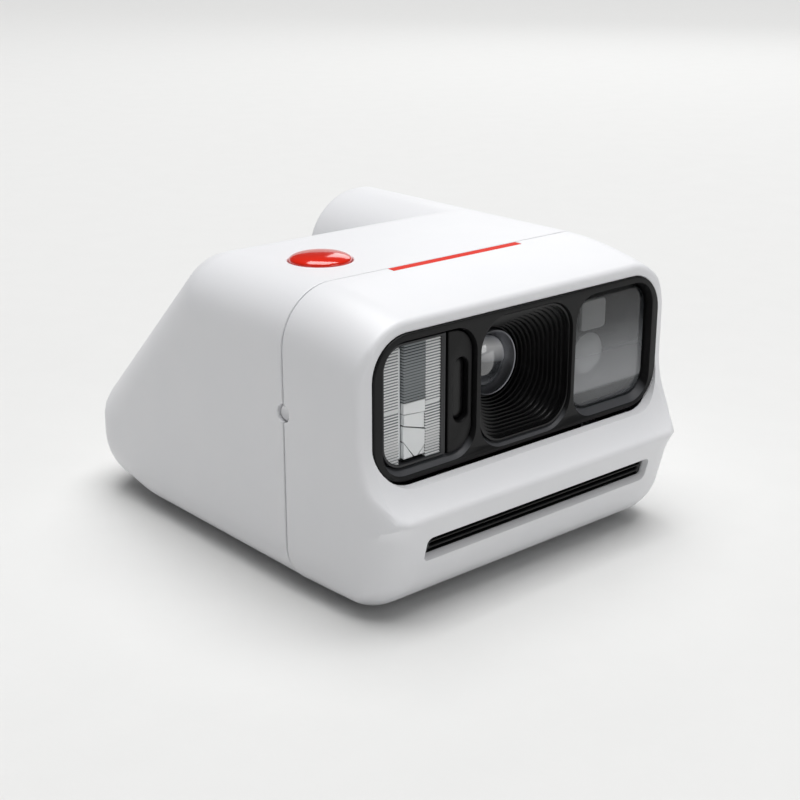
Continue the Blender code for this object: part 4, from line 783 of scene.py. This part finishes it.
# ---- the lens panel and what stands in its windows -----------------------------------------------------
class LensPanel(bpy.types.Operator):
    """Build the black panel with its three windows and the cover over the light cell"""
    bl_idname = "instant_camera.lens_panel"
    bl_label = "Lens Panel"

    def execute(self, context):
        lip = context.scene.instant_camera_panel.ledge / MM
        plate = put(stacked("lens_panel_plate", panel_outline, rounded_levels(3.0, 0.25, 4)),
                    (0, PANEL_Y, 0), FACING_FRONT)
        cutters = [put(stacked("window", sagging(outline, 40.0), ledge_levels(4.0, lip)), (0, PANEL_Y, 0),
                       FACING_FRONT)
                   for outline in (window_outline(-1), hood_outline, window_outline(1))]
        plate = carved(plate, cutters)
        add_piece("lens_panel_plate", plate, FINISHES["black_abs_painted_ledge_highlight"], replaces=["lens_panel"],
                  angle=50)
        outline = window_outline(-1)

        def cover_outline(grow=0.0):
            return [(max(x, -19.7 - grow), z) for x, z in outline(grow - 0.25)]

        cover = put(stacked("cell_cover_plate", cover_outline, rounded_levels(1.4, 0.25)),
                    (0, PANEL_Y + 0.75, 0), FACING_FRONT)
        pill = front_mouth("pill", lambda g: rounded((-18.4 - g, 34.1 - g), (-14.6 + g, 46.4 + g), 1.9 + g,
                                                     10),
                           PANEL_Y + 0.75, 3.0, 0.35, 2.0)
        cover = carved(cover, [pill])
        add_piece("cell_cover_plate", cover, FINISHES["black_moulded_abs"], replaces=["cell_cover"],
                  angle=50)
        cell = put(stacked("light_cell",
                           lambda g: rounded((-18.3 - g, 34.2 - g), (-14.7 + g, 46.3 + g), 1.8 + g, 10),
                           [(0.0, -1.0), (0.0, -0.1), (-0.4, 0.12), (-1.0, 0.24), (-1.7, 0.28)]),
                   (0, PANEL_Y + 2.1, 0), FACING_FRONT)
        add_piece("light_cell_filter", cell, FINISHES["matt_black_abs_painted_shade"], replaces=["light_sensor"],
                  angle=60)
        return {"FINISHED"}


def flash_outline(grow=0.0):
    """The flash window: rounded towards the side of the camera, square towards the cell cover."""
    return [(min(x, -20.2 + grow), z) for x, z in window_outline(-1)(grow - 0.25)]


class Flash(bpy.types.Operator):
    """Build the flash window from its frame, ribbed blocks, plain band and facets, with the tube behind"""
    bl_idname = "instant_camera.flash"
    bl_label = "Flash"

    def execute(self, context):
        pitch = context.scene.instant_camera_panel.rib_pitch / MM
        frame_levels = [(0.0, -1.6), (0.0, -0.15), (-0.12, 0.0), (-0.45, 0.0), (-0.55, -0.1), (-0.55, -1.6)]
        rim = put(stacked("flash_window_frame", flash_outline, frame_levels, closed=True),
                  (0, PANEL_Y + 0.9, 0), FACING_FRONT)
        side = box("flash_side_frame", (-21.3, PANEL_Y + 0.95, 28.9), (-20.35, PANEL_Y + 2.2, 51.5), 0.1)
        add_piece("flash_window_frame", joined("flash_window_frame", [rim, side]), FINISHES["smoked_frame"],
                  angle=40)
        blocks = (("left_lower", -35.2, -31.3, 29.0, 39.1, "ribbed_acrylic"),
                  ("left_upper", -35.2, -31.3, 39.5, 51.4, "ribbed_acrylic"),
                  ("centre", -29.95, -24.9, 40.4, 51.4, "ribbed_acrylic_painted_shade"),
                  ("right_lower", -24.85, -21.35, 29.0, 39.1, "ribbed_acrylic"),
                  ("right_upper", -24.85, -21.35, 39.5, 51.4, "ribbed_acrylic"))
        for word, x0, x1, low, high, finish in blocks:
            self.ribs(word, x0, x1, low, high, pitch, finish)
        bands = [box("band", (x0, PANEL_Y + 1.15, 39.12), (x1, PANEL_Y + 2.2, 39.48), 0.08)
                 for x0, x1 in ((-35.0, -31.3), (-24.85, -21.35))]
        add_piece("flash_window_band", joined("flash_window_band", bands), FINISHES["white_diffuser"],
                  angle=40)
        self.facets()
        self.behind()
        return {"FINISHED"}

    def ribs(self, word, x0, x1, low, high, pitch, finish):
        """One block of the ribbed window; every rib slopes back upwards from a short undercut."""
        count = int((high - low) / pitch)
        step = (high - low) / count
        section = [(low, -0.9)]
        for i in range(count):
            z = low + i * step
            section += [(z, 0.0), (z + 0.14 * step, 0.5 * step), (z + 0.3 * step, 0.46 * step)]
        section += [(high, 0.0), (high, -0.9)]
        rings = [[(x, -h, z) for z, h in section] for x in (x0, x1)]
        block = put(loft("flash_ribs_" + word, rings), (0, PANEL_Y + 1.35, 0))
        trim = put(stacked("trim", lambda g: flash_outline(g - 0.6), [(0.0, -4.0), (0.0, 4.0)]),
                   (0, PANEL_Y, 0), FACING_FRONT)
        block = carved(block, [trim], "INTERSECT")
        replaces = ["flash_window"] if word == "left_lower" else []
        add_piece("flash_ribs_" + word, block, FINISHES[finish], replaces=replaces,
                  angle=20)

    def facets(self):
        """Bright prisms of the window's middle column, each tilted its own way, with dark seams between."""
        x0, x1 = -29.95, -24.9
        shapes = (((x0, 40.3), (x0, 38.3), (x1, 37.9), (x1, 40.3)),
                  ((x0, 38.15), (x0, 36.2), (x1, 34.7), (x1, 37.75)),
                  ((x0, 35.95), (x0, 33.2), (-27.3, 29.8), (-26.6, 29.8), (x1, 31.6), (x1, 34.45)),
                  ((x0, 32.9), (x0, 29.8), (-27.6, 29.8)),
                  ((-26.2, 29.8), (x1, 29.8), (x1, 31.3)))
        tilts = ((0.10, 0.0), (0.0, 0.25), (0.30, 0.05), (0.05, 0.30), (0.2, 0.2))
        prisms = []
        for shape, (left, right) in zip(shapes, tilts):
            points = [(x, PANEL_Y + 1.2 + left * (x1 - x) / 5 + right * (x - x0) / 5, z) for x, z in shape]
            count = len(points)
            back = [(x, PANEL_Y + 2.2, z) for x, _, z in points]
            faces = [tuple(range(count)), tuple(range(2 * count - 1, count - 1, -1))]
            faces += [(i, i + count, (i + 1) % count + count, (i + 1) % count) for i in range(count)]
            prisms.append(bevelled(mesh_of("facet", points + back, faces), 0.06))
        add_piece("flash_window_facets", joined("flash_window_facets", prisms), FINISHES["white_diffuser"],
                  angle=20)

    def behind(self):
        """The reflector trough, the tube just behind the window and the grey holder."""
        y = PANEL_Y + 3.0
        trough = [(-35.0, 0.0), (-34.0, 3.0), (-32.4, 5.2), (-29.4, 6.6), (-27.0, 6.8), (-24.6, 6.2),
                  (-22.2, 4.2),
                  (-20.9, 0.0)]
        outer = trough + [(x + (-27.6 - x) * -0.045, d + 0.6) for x, d in reversed(trough)]
        rings = [[(x, y + d, z) for x, d in outer] for z in (29.4, 51.0)]
        add_piece("flash_reflector_trough", loft("flash_reflector_trough", rings),
                  FINISHES["vacuum_aluminised"],
                  replaces=["flash_reflector"], angle=30)
        tube = put(turned("flash_tube_glass",
                          [(0.0, -10.4), (0.5, -10.4), (0.62, -10.2), (0.62, 10.2), (0.5, 10.4),
                                               (0.0, 10.4)], 32, closed=False), (-30.62, y - 0.55, 40.2))
        add_piece("flash_tube_glass", tube, FINISHES["frosted_glass"], replaces=["flash_tube"])
        holder = box("flash_holder", (-34.6, y + 0.05, 29.6), (-21.2, y + 0.6, 50.8), 0.2)
        add_piece("flash_holder", holder, FINISHES["grey_moulded_abs"])


def hood_section(share):
    """The hood's outline on its way from the panel window (0) to the lens ring (1)."""
    half = 12.0 + (6.9 - 12.0) * share
    rise = 12.25 + (6.9 - 12.25) * share
    radius = 6.0 + (6.9 - 6.0) * min(1.0, share * 1.25)
    middle = 40.15 + (LENS_Z - 40.15) * share
    radius = min(half, rise, radius + (half - radius) * share ** 1.6)
    return rounded((-half, middle - rise), (half, middle + rise), radius, 14)


class Lens(bpy.types.Operator):
    """Build the stepped lens hood, the lens ring and the front lens"""
    bl_idname = "instant_camera.lens"
    bl_label = "Lens"

    def execute(self, context):
        steps = context.scene.instant_camera_panel.hood_steps
        rings = []
        front = PANEL_Y + 0.55
        for i in range(steps):
            near = front + (HOOD_DEPTH - 1.3) * i / steps
            far = front + (HOOD_DEPTH - 1.3) * (i + 1) / steps
            here, there = hood_section(i / steps), hood_section((i + 0.86) / steps)
            rings.append([(x, near, z) for x, z in here])
            rings.append([(x + (u - x) * 0.12, far - 0.16, z + (v - z) * 0.12) for (x, z),
                          (u, v) in zip(here, there)])
            rings.append([(x + (u - x) * 0.3, far - 0.02, z + (v - z) * 0.3) for (x, z),
                          (u, v) in zip(here, there)])
        back = front + HOOD_DEPTH - 1.3
        last = hood_section(1.0)
        rings.append([(x, back, z) for x, z in last])
        rings.append([(x, back + 1.2, z) for x, z in last])
        outside = [hood_ring_outside(y) for y in (back + 1.2, front + 3.0, front)]
        hood = loft("lens_hood_steps", rings + outside, caps=False, closed=True)
        add_piece("lens_hood_steps", hood, FINISHES["matt_black_abs_painted_shade"], replaces=["lens_hood"],
                  angle=28)
        self.rings(PANEL_Y + HOOD_DEPTH)
        return {"FINISHED"}

    def rings(self, back):
        """The metal ring, the black inner cone and the domed front element."""
        ring = [(6.6, -1.4), (6.6, 1.1), (6.45, 1.3), (6.27, 1.22), (5.9, 0.5), (5.45, -0.45), (5.25, -0.7),
                (5.2, -1.4)]
        add_piece("front_lens_ring", put(turned("front_lens_ring", ring, 96), (0, back - 0.6, LENS_Z),
                                         FACING_FRONT),
                  FINISHES["turned_lens_ring"], replaces=["lens_ring"], angle=35)
        dome = [(5.15 * math.sin(math.radians(a)),
                 -0.9 + 2.1 * math.cos(math.radians(a))) for a in range(0, 91, 5)]
        lens = turned("front_lens_glass", dome + [(5.15, -1.5), (0.0, -1.5)], 96, closed=False)
        add_piece("front_lens_glass", put(lens, (0, back - 0.6, LENS_Z), FACING_FRONT),
                  FINISHES["lens_glass_painted_reflection"], replaces=["front_lens"], angle=60)


def hood_ring_outside(y):
    """The outside of the hood at a depth, with as many points as hood_section."""
    share = max(0.0, (y - PANEL_Y - 3.5) / HOOD_DEPTH)
    half = 11.7 - 3.4 * share
    low, high = 28.2 + 3.2 * share, 52.1 - 3.6 * share
    return [(x, y, z) for x, z in rounded((-half, low), (half, high), 6.0, 14)]


class FinderWindow(bpy.types.Operator):
    """Build the finder's half-silvered window, with its bezel, a prism and a round lens behind"""
    bl_idname = "instant_camera.finder_window"
    bl_label = "Finder Window"

    def execute(self, context):
        def outline(grow=0.0):
            return window_outline(1)(grow - 0.3)
        crown = [(0.0, -1.3), (0.0, -0.35), (-0.15, -0.12), (-0.5, 0.0), (-1.5, 0.12), (-3.5, 0.26),
                 (-6.0, 0.36),
                 (-9.0, 0.42)]
        glass = put(stacked("finder_front_glass", outline, crown), (0, PANEL_Y + 1.5, 0), FACING_FRONT)
        add_piece("finder_front_glass", glass, FINISHES["finder_glass_painted_reflection"], replaces=["finder_window"],
                  angle=60)
        backing = put(stacked("finder_bezel", lambda g: outline(g - 0.1),
                              [(0.0, -1.2), (0.0, 0.0), (-2.2, -0.2), (-2.6, -1.2)], closed=True),
                      (0, PANEL_Y + 3.0, 0), FACING_FRONT)
        add_piece("finder_bezel", backing, FINISHES["inner_black_abs"])
        prism = put(stacked("finder_prism",
                            lambda g: rounded((17.2 - g, 44.2 - g), (24.2 + g, 50.3 + g), 1.0 + g, 6),
                            rounded_levels(0.7, 0.2, 3)), (0, PANEL_Y + 2.25, 0), FACING_FRONT)
        objective = put(turned("finder_objective",
                               [(0.0, 0.3), (2.4, 0.18), (4.0, -0.1), (4.4, -0.4), (0.0, -0.4)], 64,
                               closed=False), (19.9, PANEL_Y + 2.55, 39.3), FACING_FRONT)
        add_piece("finder_prism", prism, FINISHES["frosted_glass"], angle=35)
        add_piece("finder_objective", objective, FINISHES["frosted_glass"], angle=35)
        return {"FINISHED"}


class PrintSlot(bpy.types.Operator):
    """Build the print guide with its two lips"""
    bl_idname = "instant_camera.print_slot"
    bl_label = "Print Slot"

    def execute(self, context):
        def outer(grow=0.0):
            return rounded((-29.85 - grow, -1.8 - grow), (29.85 + grow, 1.8 + grow), 0.9 + grow, 5)

        def mouth(grow=0.0):
            return rounded((-28.6 - grow, -0.35 - grow), (28.6 + grow, 0.35 + grow), 0.34 + grow, 5)

        guide = stacked("print_guide_lips", outer, rounded_levels(2.4, 0.3))
        cutters = [stacked("slit", mouth, mouth_levels(4.0, 0.35))]
        for low, high in ((0.85, 1.5), (-1.5, -0.85)):
            groove = (-28.9, low), (28.9, high)
            cutters.append(stacked("groove", lambda g, c=groove: rounded(
                (c[0][0] - g, c[0][1] - g), (c[1][0] + g, c[1][1] + g), 0.3 + g, 5), mouth_levels(1.3, 0.1)))
        guide = put(carved(guide, cutters), (SLOT_AT[0], SLOT_AT[1] + 1.1, SLOT_AT[2]), slot_turn())
        add_piece("print_guide_lips", guide, FINISHES["black_moulded_abs"], replaces=["print_guide"],
                  angle=40)
        return {"FINISHED"}


# ---- buttons, back and sides -----------------------------------------------------------------------------
class Buttons(bpy.types.Operator):
    """Build the domed shutter button, the two back keys, the counter window and the status light"""
    bl_idname = "instant_camera.buttons"
    bl_label = "Buttons"

    def execute(self, context):
        high = context.scene.instant_camera_shell.button_dome / MM
        dome = [(6.1 * math.sin(math.radians(a)) ** 0.92, high * math.cos(math.radians(a)) ** 0.9)
                for a in range(0, 90, 6)]
        profile = [(0.0, high)] + dome[1:] + [(6.1, 0.0), (6.1, -2.5), (7.1, -2.5), (7.1, -3.5), (0.0, -3.5)]
        button = put(turned("shutter_button_dome", profile, 96, closed=False), (-21.9, -9.35, TOP_Z))
        add_piece("shutter_button_dome", button, FINISHES["red_lacquered_abs"], "shutter_key",
                  ["shutter_button"], 40)
        key = [(0.0, 0.32), (1.2, 0.36), (2.2, 0.46), (2.9, 0.5), (3.2, 0.4), (3.4, 0.1), (3.4, -2.5),
               (4.2, -2.5),
               (4.2, -3.1), (0.0, -3.1)]
        for word, x in (("power", -23.0), ("flash", -11.0)):
            cap = put(turned(f"{word}_key_cap", key, 72, closed=False), on_slope(x, KEY_ALONG), ON_SLOPE)
            add_piece(f"{word}_key_cap", cap, FINISHES["black_moulded_abs"], f"{word}_key",
                      [f"{word}_button"], 40)
        cover = stacked("counter_cover",
                        lambda g: rounded((-4.4 - g, -3.0 - g), (4.4 + g, 3.0 + g), 0.4 + g, 5),
                        rounded_levels(1.2, 0.15))
        add_piece("counter_cover", put(cover, on_slope(3.0, KEY_ALONG, -0.1), ON_SLOPE),
                  FINISHES["clear_acrylic"],
                  replaces=["counter_window"], angle=40)
        display = stacked("counter_panel",
                          lambda g: rounded((-4.2 - g, -2.8 - g), (4.2 + g, 2.8 + g), 0.3 + g, 5),
                          rounded_levels(1.2, 0.1))
        add_piece("counter_panel", put(display, on_slope(3.0, KEY_ALONG, -1.45), ON_SLOPE),
                  FINISHES["display_glass"],
                  replaces=["counter_display"], angle=40)
        light = [(0.0, 0.05), (0.35, 0.0), (0.6, -0.2), (0.6, -3.0), (0.0, -3.0)]
        add_piece("status_light_pipe", put(turned("status_light_pipe", light, 32, closed=False),
                                           on_slope(-17.0, KEY_ALONG), ON_SLOPE),
                  FINISHES["frosted_glass"], replaces=["status_light"], angle=40)
        return {"FINISHED"}


class Eyepiece(bpy.types.Operator):
    """Build the eyepiece ring and its lens"""
    bl_idname = "instant_camera.eyepiece"
    bl_label = "Eyepiece"

    def execute(self, context):
        at = (EYE[0], FINDER_BACK_Y, EYE[1])
        ring = [(8.3, 1.4), (8.75, 1.25), (9.0, 0.9), (9.0, 0.3), (6.9, 0.3), (6.9, -3.4), (5.5, -3.4),
                (5.4, -1.0),
                (5.6, 0.0), (6.0, 0.8), (6.6, 1.25), (7.2, 1.4)]
        add_piece("eyepiece_surround", put(turned("eyepiece_surround", ring, 96), at, FACING_BACK),
                  FINISHES["black_moulded_abs"], replaces=["eyepiece_ring"], angle=35)
        dome = [(5.3 * math.sin(math.radians(a)),
                 -1.4 + 1.2 * math.cos(math.radians(a))) for a in range(0, 91, 9)]
        lens = turned("eyepiece_glass", dome + [(5.3, -2.6), (0.0, -2.6)], 72, closed=False)
        add_piece("eyepiece_glass", put(lens, at, FACING_BACK), FINISHES["lens_glass_painted_reflection"],
                  replaces=["eyepiece_lens"], angle=50)
        return {"FINISHED"}


class Trim(bpy.types.Operator):
    """Build the printed strip and the strap lugs"""
    bl_idname = "instant_camera.trim"
    bl_label = "Trim"

    def execute(self, context):
        rings = []
        for x in (-16.9, 16.9):
            rings.append([(x, SEAM_Y - 2.0 + along, TOP_Z - down)
                          for along, down in ((0.0, 0.055), (1.0, 0.02), (1.85, 0.01), (1.85, 0.5),
                                              (0.0, 0.5))])
        add_piece("accent_strip_print", loft("accent_strip_print", rings), FINISHES["red_printed_ink"],
                  replaces=["accent_strip"])
        profile = [(0.0, -0.35), (0.75, -0.3), (1.25, -0.05), (1.5, -0.3), (1.5, -2.0), (3.0, -2.0),
                   (3.0, -3.2),
                   (0.0, -3.2)]
        for side, word in ((-1, "left"), (1, "right")):
            lug = put(turned(f"strap_lug_post_{word}", profile, 40, closed=False),
                      (side * 41.4, SEAM_Y + 0.15, 36.0),
                      Matrix.Rotation(math.radians(90 * side), 4, "Y"))
            add_piece(f"strap_lug_post_{word}", lug, FINISHES["white_moulded_abs"],
                      replaces=[f"strap_lug_{word}"], angle=35)
        return {"FINISHED"}


class FilmDoor(bpy.types.Operator):
    """Build the film door with its grip grooves and its hinge barrel"""
    bl_idname = "instant_camera.film_door"
    bl_label = "Film Door"

    def execute(self, context):
        def outline(grow=0.0):
            return rounded((-29.4 - grow, -31.0 - grow), (29.4 + grow, 34.4 + grow), 0.8 + grow, 5)
        levels = [(-0.35, 0.4), (-0.1, 0.5), (0.0, 0.75), (0.0, 2.4)]
        slab = stacked("film_door_leaf", outline, levels)
        barrel = put(turned("barrel", [(0.0, -27.1), (1.6, -27.1), (1.6, 27.1), (0.0, 27.1)], 32,
                            closed=False),
                     (0, 35.2, 2.0), Matrix.Rotation(math.radians(90), 4, "Y"))
        cutters = [put(turned("bore", [(0.0, -40.0), (1.0, -40.0), (1.0, 40.0), (0.0, 40.0)], 24,
                              closed=False),
                       (0, 35.2, 2.0), Matrix.Rotation(math.radians(90), 4, "Y"))]
        for side in (-1, 1):
            low, high = sorted((side * 27.2, side * 31.0))
            cutters.append(box("notch", (low, 31.3, -1.0), (high, 40.0, 5.0)))
        for i in range(5):
            y = -27.0 + 1.6 * i
            cutters.append(stacked("groove", lambda g,
                                   y=y: rounded((-9.0 - g, y - g), (9.0 + g, y + 0.7 + g), 0.35 + g, 4),
                                   [(0.15, -1.0), (0.15, 0.4), (0.0, 0.6), (0.0, 0.85)]))
        leaf = carved(slab, cutters[1:])
        leaf = carved(leaf, [barrel], "UNION")
        leaf = carved(leaf, cutters[:1])
        add_piece("film_door_leaf", leaf, FINISHES["white_moulded_abs"], "door", ["film_door"],
                  35)
        return {"FINISHED"}


class SideFittings(bpy.types.Operator):
    """Build the ribbed door latch, the charging port and the case screws"""
    bl_idname = "instant_camera.side_fittings"
    bl_label = "Side Fittings"

    def execute(self, context):
        latch = box("door_latch_slider", (38.9, -8.0, 17.0), (41.6, 2.0, 23.0), 0.5)
        grooves = [put(stacked("groove",
                               lambda g: rounded((-2.4 - g, -0.25 - g), (2.4 + g, 0.25 + g), 0.24 + g, 4),
                               mouth_levels(0.35, 0.1)), (41.6, -5.4 + 1.2 * i, 20.0),
                       Matrix.Rotation(math.radians(90), 4, "Y")) for i in range(5)]
        add_piece("door_latch_slider", carved(latch, grooves), FINISHES["black_moulded_abs"], "latch",
                  ["door_latch"], 35)
        to_side = Matrix.Rotation(math.radians(90), 4, "Y")

        def port(grow=0.0):
            return rounded((-1.5 - grow, -4.4 - grow), (1.5 + grow, 4.4 + grow), 1.4 + grow, 8)

        shell_levels = [(0.0, -6.8), (0.0, -0.1), (-0.1, 0.0), (-0.25, 0.0), (-0.3, -0.1), (-0.3, -6.0),
                        (-1.2, -6.0),
                        (-1.2, -6.8)]
        port_mesh = put(stacked("charging_port_shell", port, shell_levels, closed=True), (41.2, 25.0, 24.0),
                        to_side)
        add_piece("charging_port_shell", port_mesh, FINISHES["brushed_steel"], replaces=["usb_port"],
                  angle=40)
        tongue = put(box("charging_port_tongue", (-0.35, -3.3, -6.0), (0.35, 3.3, -1.2), 0.1),
                     (41.2, 25.0, 24.0),
                     to_side)
        add_piece("charging_port_tongue", tongue, FINISHES["inner_black_abs"])
        for i, (x, y) in enumerate(((-33.8, -14.0), (33.8, -14.0), (-33.8, 27.0), (33.8, 27.0))):
            head = turned("screw", [(0.0, 6.6), (0.7, 6.2), (0.7, 1.9), (1.45, 1.9), (1.45, 0.95), (1.3, 0.8),
                                    (0.0, 0.8)], 40, closed=False)
            cross = [box("cross", (-0.8, -0.16, 0.4), (0.8, 0.16, 1.3)),
                     box("cross", (-0.16, -0.8, 0.4), (0.16, 0.8, 1.3))]
            head = carved(carved(head, cross[:1]), cross[1:])
            add_piece(f"case_screw_head_{i + 1}", put(head, (x, y, 0)), FINISHES["brushed_steel"],
                      replaces=[f"case_screw_{i + 1}"], angle=35)
        return {"FINISHED"}


class InnerParts(bpy.types.Operator):
    """Give every carried-over frame node the finish of its material slot"""
    bl_idname = "instant_camera.inner_parts"
    bl_label = "Inner Parts"

    def execute(self, context):
        for row in frame["record"]["subparts"]:
            node = frame["nodes"][row["node"]]
            node.data.materials.clear()
            node.data.materials.append(FINISHES[SLOT_FINISH[row["material_slot"]]])
        return {"FINISHED"}


CAMERA_PLACE = (-0.19005, -0.22682, 0.12593)  # metres
CAMERA_AIM = (0.6185, 0.7137, -0.3286)        # direction of the view
CAMERA_AZIMUTH = -40.9                        # degrees: the sweep is turned to face the camera


class Stage(bpy.types.Operator):
    """Set the pale floor, the studio lights and the camera"""
    bl_idname = "instant_camera.stage"
    bl_label = "Studio"

    def execute(self, context):
        studio = context.scene.instant_camera_studio
        reach, rise, bend, far = 4.0, 1.2, 0.6, 4.0  # metres: half width, height, bend and start
        rows = [(-reach, 0.0), (far, 0.0)]
        rows += [(far + bend * math.sin(math.radians(a)),
                  bend * (1 - math.cos(math.radians(a)))) for a in range(6, 91, 6)]
        rows.append((far + bend, rise))
        points = [(x / MM, y / MM, z / MM) for y, z in rows for x in (-reach, reach)]
        faces = [(2 * i, 2 * i + 1, 2 * i + 3, 2 * i + 2) for i in range(len(rows) - 1)]
        sweep = mesh_of("studio_sweep", points, faces)
        sweep.flip_normals()
        sweep.materials.append(FINISHES["pale_paper"])
        sweep.shade_smooth()
        floor = bpy.data.objects.new("studio_sweep", sweep)
        floor.rotation_euler = (0, 0, math.radians(CAMERA_AZIMUTH))
        context.scene.collection.objects.link(floor)
        self.lights(context, studio)
        view = bpy.data.cameras.new("studio_camera")
        view.lens = studio.lens
        view.clip_start = 0.01
        camera = bpy.data.objects.new("studio_camera", view)
        camera.location = CAMERA_PLACE
        camera.rotation_euler = Vector(CAMERA_AIM).to_track_quat("-Z", "Y").to_euler()
        context.scene.collection.objects.link(camera)
        context.scene.camera = camera
        context.scene.view_settings.view_transform = "Standard"
        return {"FINISHED"}

    def lights(self, context, studio):
        """A broad soft key far above, a small sheen light behind and two weak fills, aimed at the middle."""
        target = Vector((0.0, 0.0, 0.03))
        for name, place, size, power in (
                ("key_above", (0.33, 0.17, 5.00), (4.6, 4.6), studio.key),
                ("sheen_behind", (0.85, 0.62, 0.50), (0.5, 0.32), studio.sheen),
                ("fill_front", (0.30, -1.10, 0.30), (0.6, 0.4), studio.front),
                ("fill_side", (-1.10, -0.10, 0.45), (0.6, 0.6), studio.side)):
            light = bpy.data.lights.new(name, "AREA")
            light.shape = "RECTANGLE"
            light.size, light.size_y = size
            light.energy = power
            lamp = bpy.data.objects.new(name, light)
            lamp.location = place
            lamp.rotation_euler = (target - Vector(place)).to_track_quat("-Z", "Y").to_euler()
            context.scene.collection.objects.link(lamp)
        world = bpy.data.worlds.new("studio")
        world.use_nodes = True
        sky = world.node_tree.nodes["Background"]
        sky.inputs["Color"].default_value = linear("f1f2f4")
        sky.inputs["Strength"].default_value = studio.ambient
        context.scene.world = world


def make_extra_finishes():
    # smoke-grey moulded ABS frame round the flash: dark and satin
    moulded("smoked_frame", "2b2c2e", "323335", 0.34, 0.5, 0.002, **{"Specular IOR Level": 0.35})
    # grey moulded ABS holder behind the ribs: even and dull
    moulded("grey_moulded_abs", "55575b", "5f6165", 0.4, 0.5, 0.003)
    # white moulded polycarbonate, for the band and the facets: bright with a soft shine
    moulded("white_diffuser", "f6f8f8", "eceff0", 0.22, 0.8, 0.002)
    # frosted glass, for the flash tube, the status light and the finder's inner lenses: milky and smooth
    moulded("frosted_glass", "f0f2f3", "e4e8ea", 0.25, 1.0, 0.002)
    # background paper: even, matt, very slightly fibrous
    moulded("pale_paper", "e4e4e3", "e1e1e0", 0.85, 1.2, 0.02)


# ---- settings ------------------------------------------------------------------------------------------
class CameraColours(bpy.types.PropertyGroup):
    shell: bpy.props.StringProperty(name="Shell", description="Hex colour of both shells", default="f3f3f5")
    panel: bpy.props.StringProperty(name="Panel", description="Hex colour of the lens panel",
                                    default="101011")
    button: bpy.props.StringProperty(name="Button", description="Hex colour of the shutter button",
                                     default="f22a10")
    strip: bpy.props.StringProperty(name="Strip", description="Hex colour of the printed strip",
                                    default="e63222")
    glass: bpy.props.StringProperty(name="Finder glass", description="Hex colour of the finder window",
                                    default="7d8187")


class ShellSettings(bpy.types.PropertyGroup):
    columns: bpy.props.IntProperty(name="Columns", description="Mesh columns round each shell", default=300,
                                   min=60)
    rows: bpy.props.IntProperty(name="Rows", description="Mesh rows from the seam to the end", default=190,
                                min=40)
    seam_round: bpy.props.FloatProperty(name="Seam round",
                                        description="Radius of each shell's edge at the seam",
                                        default=0.00025, unit="LENGTH", subtype="DISTANCE")
    lip: bpy.props.FloatProperty(name="Opening lip", description="Radius of the edge round the panel opening",
                                 default=0.0003, unit="LENGTH", subtype="DISTANCE")
    button_dome: bpy.props.FloatProperty(name="Button dome",
                                         description="Height of the shutter button's dome",
                                         default=0.00145, unit="LENGTH", subtype="DISTANCE")


class PanelSettings(bpy.types.PropertyGroup):
    ledge: bpy.props.FloatProperty(name="Window ledge", description="Radius of the ledge round each window",
                                   default=0.0011, unit="LENGTH", subtype="DISTANCE")
    rib_pitch: bpy.props.FloatProperty(name="Rib pitch", description="Spacing of the flash window's ribs",
                                       default=0.00054, unit="LENGTH", subtype="DISTANCE")
    hood_steps: bpy.props.IntProperty(name="Hood steps", description="Steps inside the lens hood", default=13,
                                      min=3)


class StudioSettings(bpy.types.PropertyGroup):
    key: bpy.props.FloatProperty(name="Key", description="Power of the light above", default=322.0,
                                 unit="POWER")
    sheen: bpy.props.FloatProperty(name="Sheen", description="Power of the small light behind", default=0.8,
                                   unit="POWER")
    front: bpy.props.FloatProperty(name="Front fill", description="Power of the light in front", default=1.2,
                                   unit="POWER")
    side: bpy.props.FloatProperty(name="Side fill", description="Power of the light at the side", default=0.3,
                                  unit="POWER")
    ambient: bpy.props.FloatProperty(name="Ambient", description="Strength of the even light all round",
                                     default=0.06)
    lens: bpy.props.FloatProperty(name="Lens", description="Focal length of the studio camera", default=65.65,
                                  unit="CAMERA")


class SidebarPanel(bpy.types.Panel):
    """The build steps of the instant camera, in order"""
    bl_idname = "VIEW3D_PT_instant_camera"
    bl_label = "Instant Camera"
    bl_space_type = "VIEW_3D"
    bl_region_type = "UI"
    bl_category = "Instant Camera"

    def draw(self, context):
        for group in (context.scene.instant_camera_colours, context.scene.instant_camera_shell,
                      context.scene.instant_camera_panel, context.scene.instant_camera_studio):
            column = self.layout.column()
            for name in type(group).__annotations__:
                column.prop(group, name)
        for step in STEPS:
            self.layout.operator(step.bl_idname)


GROUPS = {"instant_camera_colours": CameraColours, "instant_camera_shell": ShellSettings,
          "instant_camera_panel": PanelSettings, "instant_camera_studio": StudioSettings}
STEPS = (InnerParts, FrontShell, RearShell, LensPanel, Flash, Lens, FinderWindow, PrintSlot, Buttons,
         Eyepiece,
         Trim, FilmDoor, SideFittings, Stage)


def register():
    for kind in (*GROUPS.values(), *STEPS, SidebarPanel):
        bpy.utils.register_class(kind)
    for name, kind in GROUPS.items():
        setattr(bpy.types.Scene, name, bpy.props.PointerProperty(type=kind))


def unregister():
    for name in GROUPS:
        delattr(bpy.types.Scene, name)
    for kind in (SidebarPanel, *reversed(STEPS), *GROUPS.values()):
        bpy.utils.unregister_class(kind)


def main():
    register()
    make_finishes()
    make_extra_finishes()
    for step in STEPS:
        group, name = step.bl_idname.split(".")
        getattr(getattr(bpy.ops, group), name)()


if __name__ == "__main__":
    main()
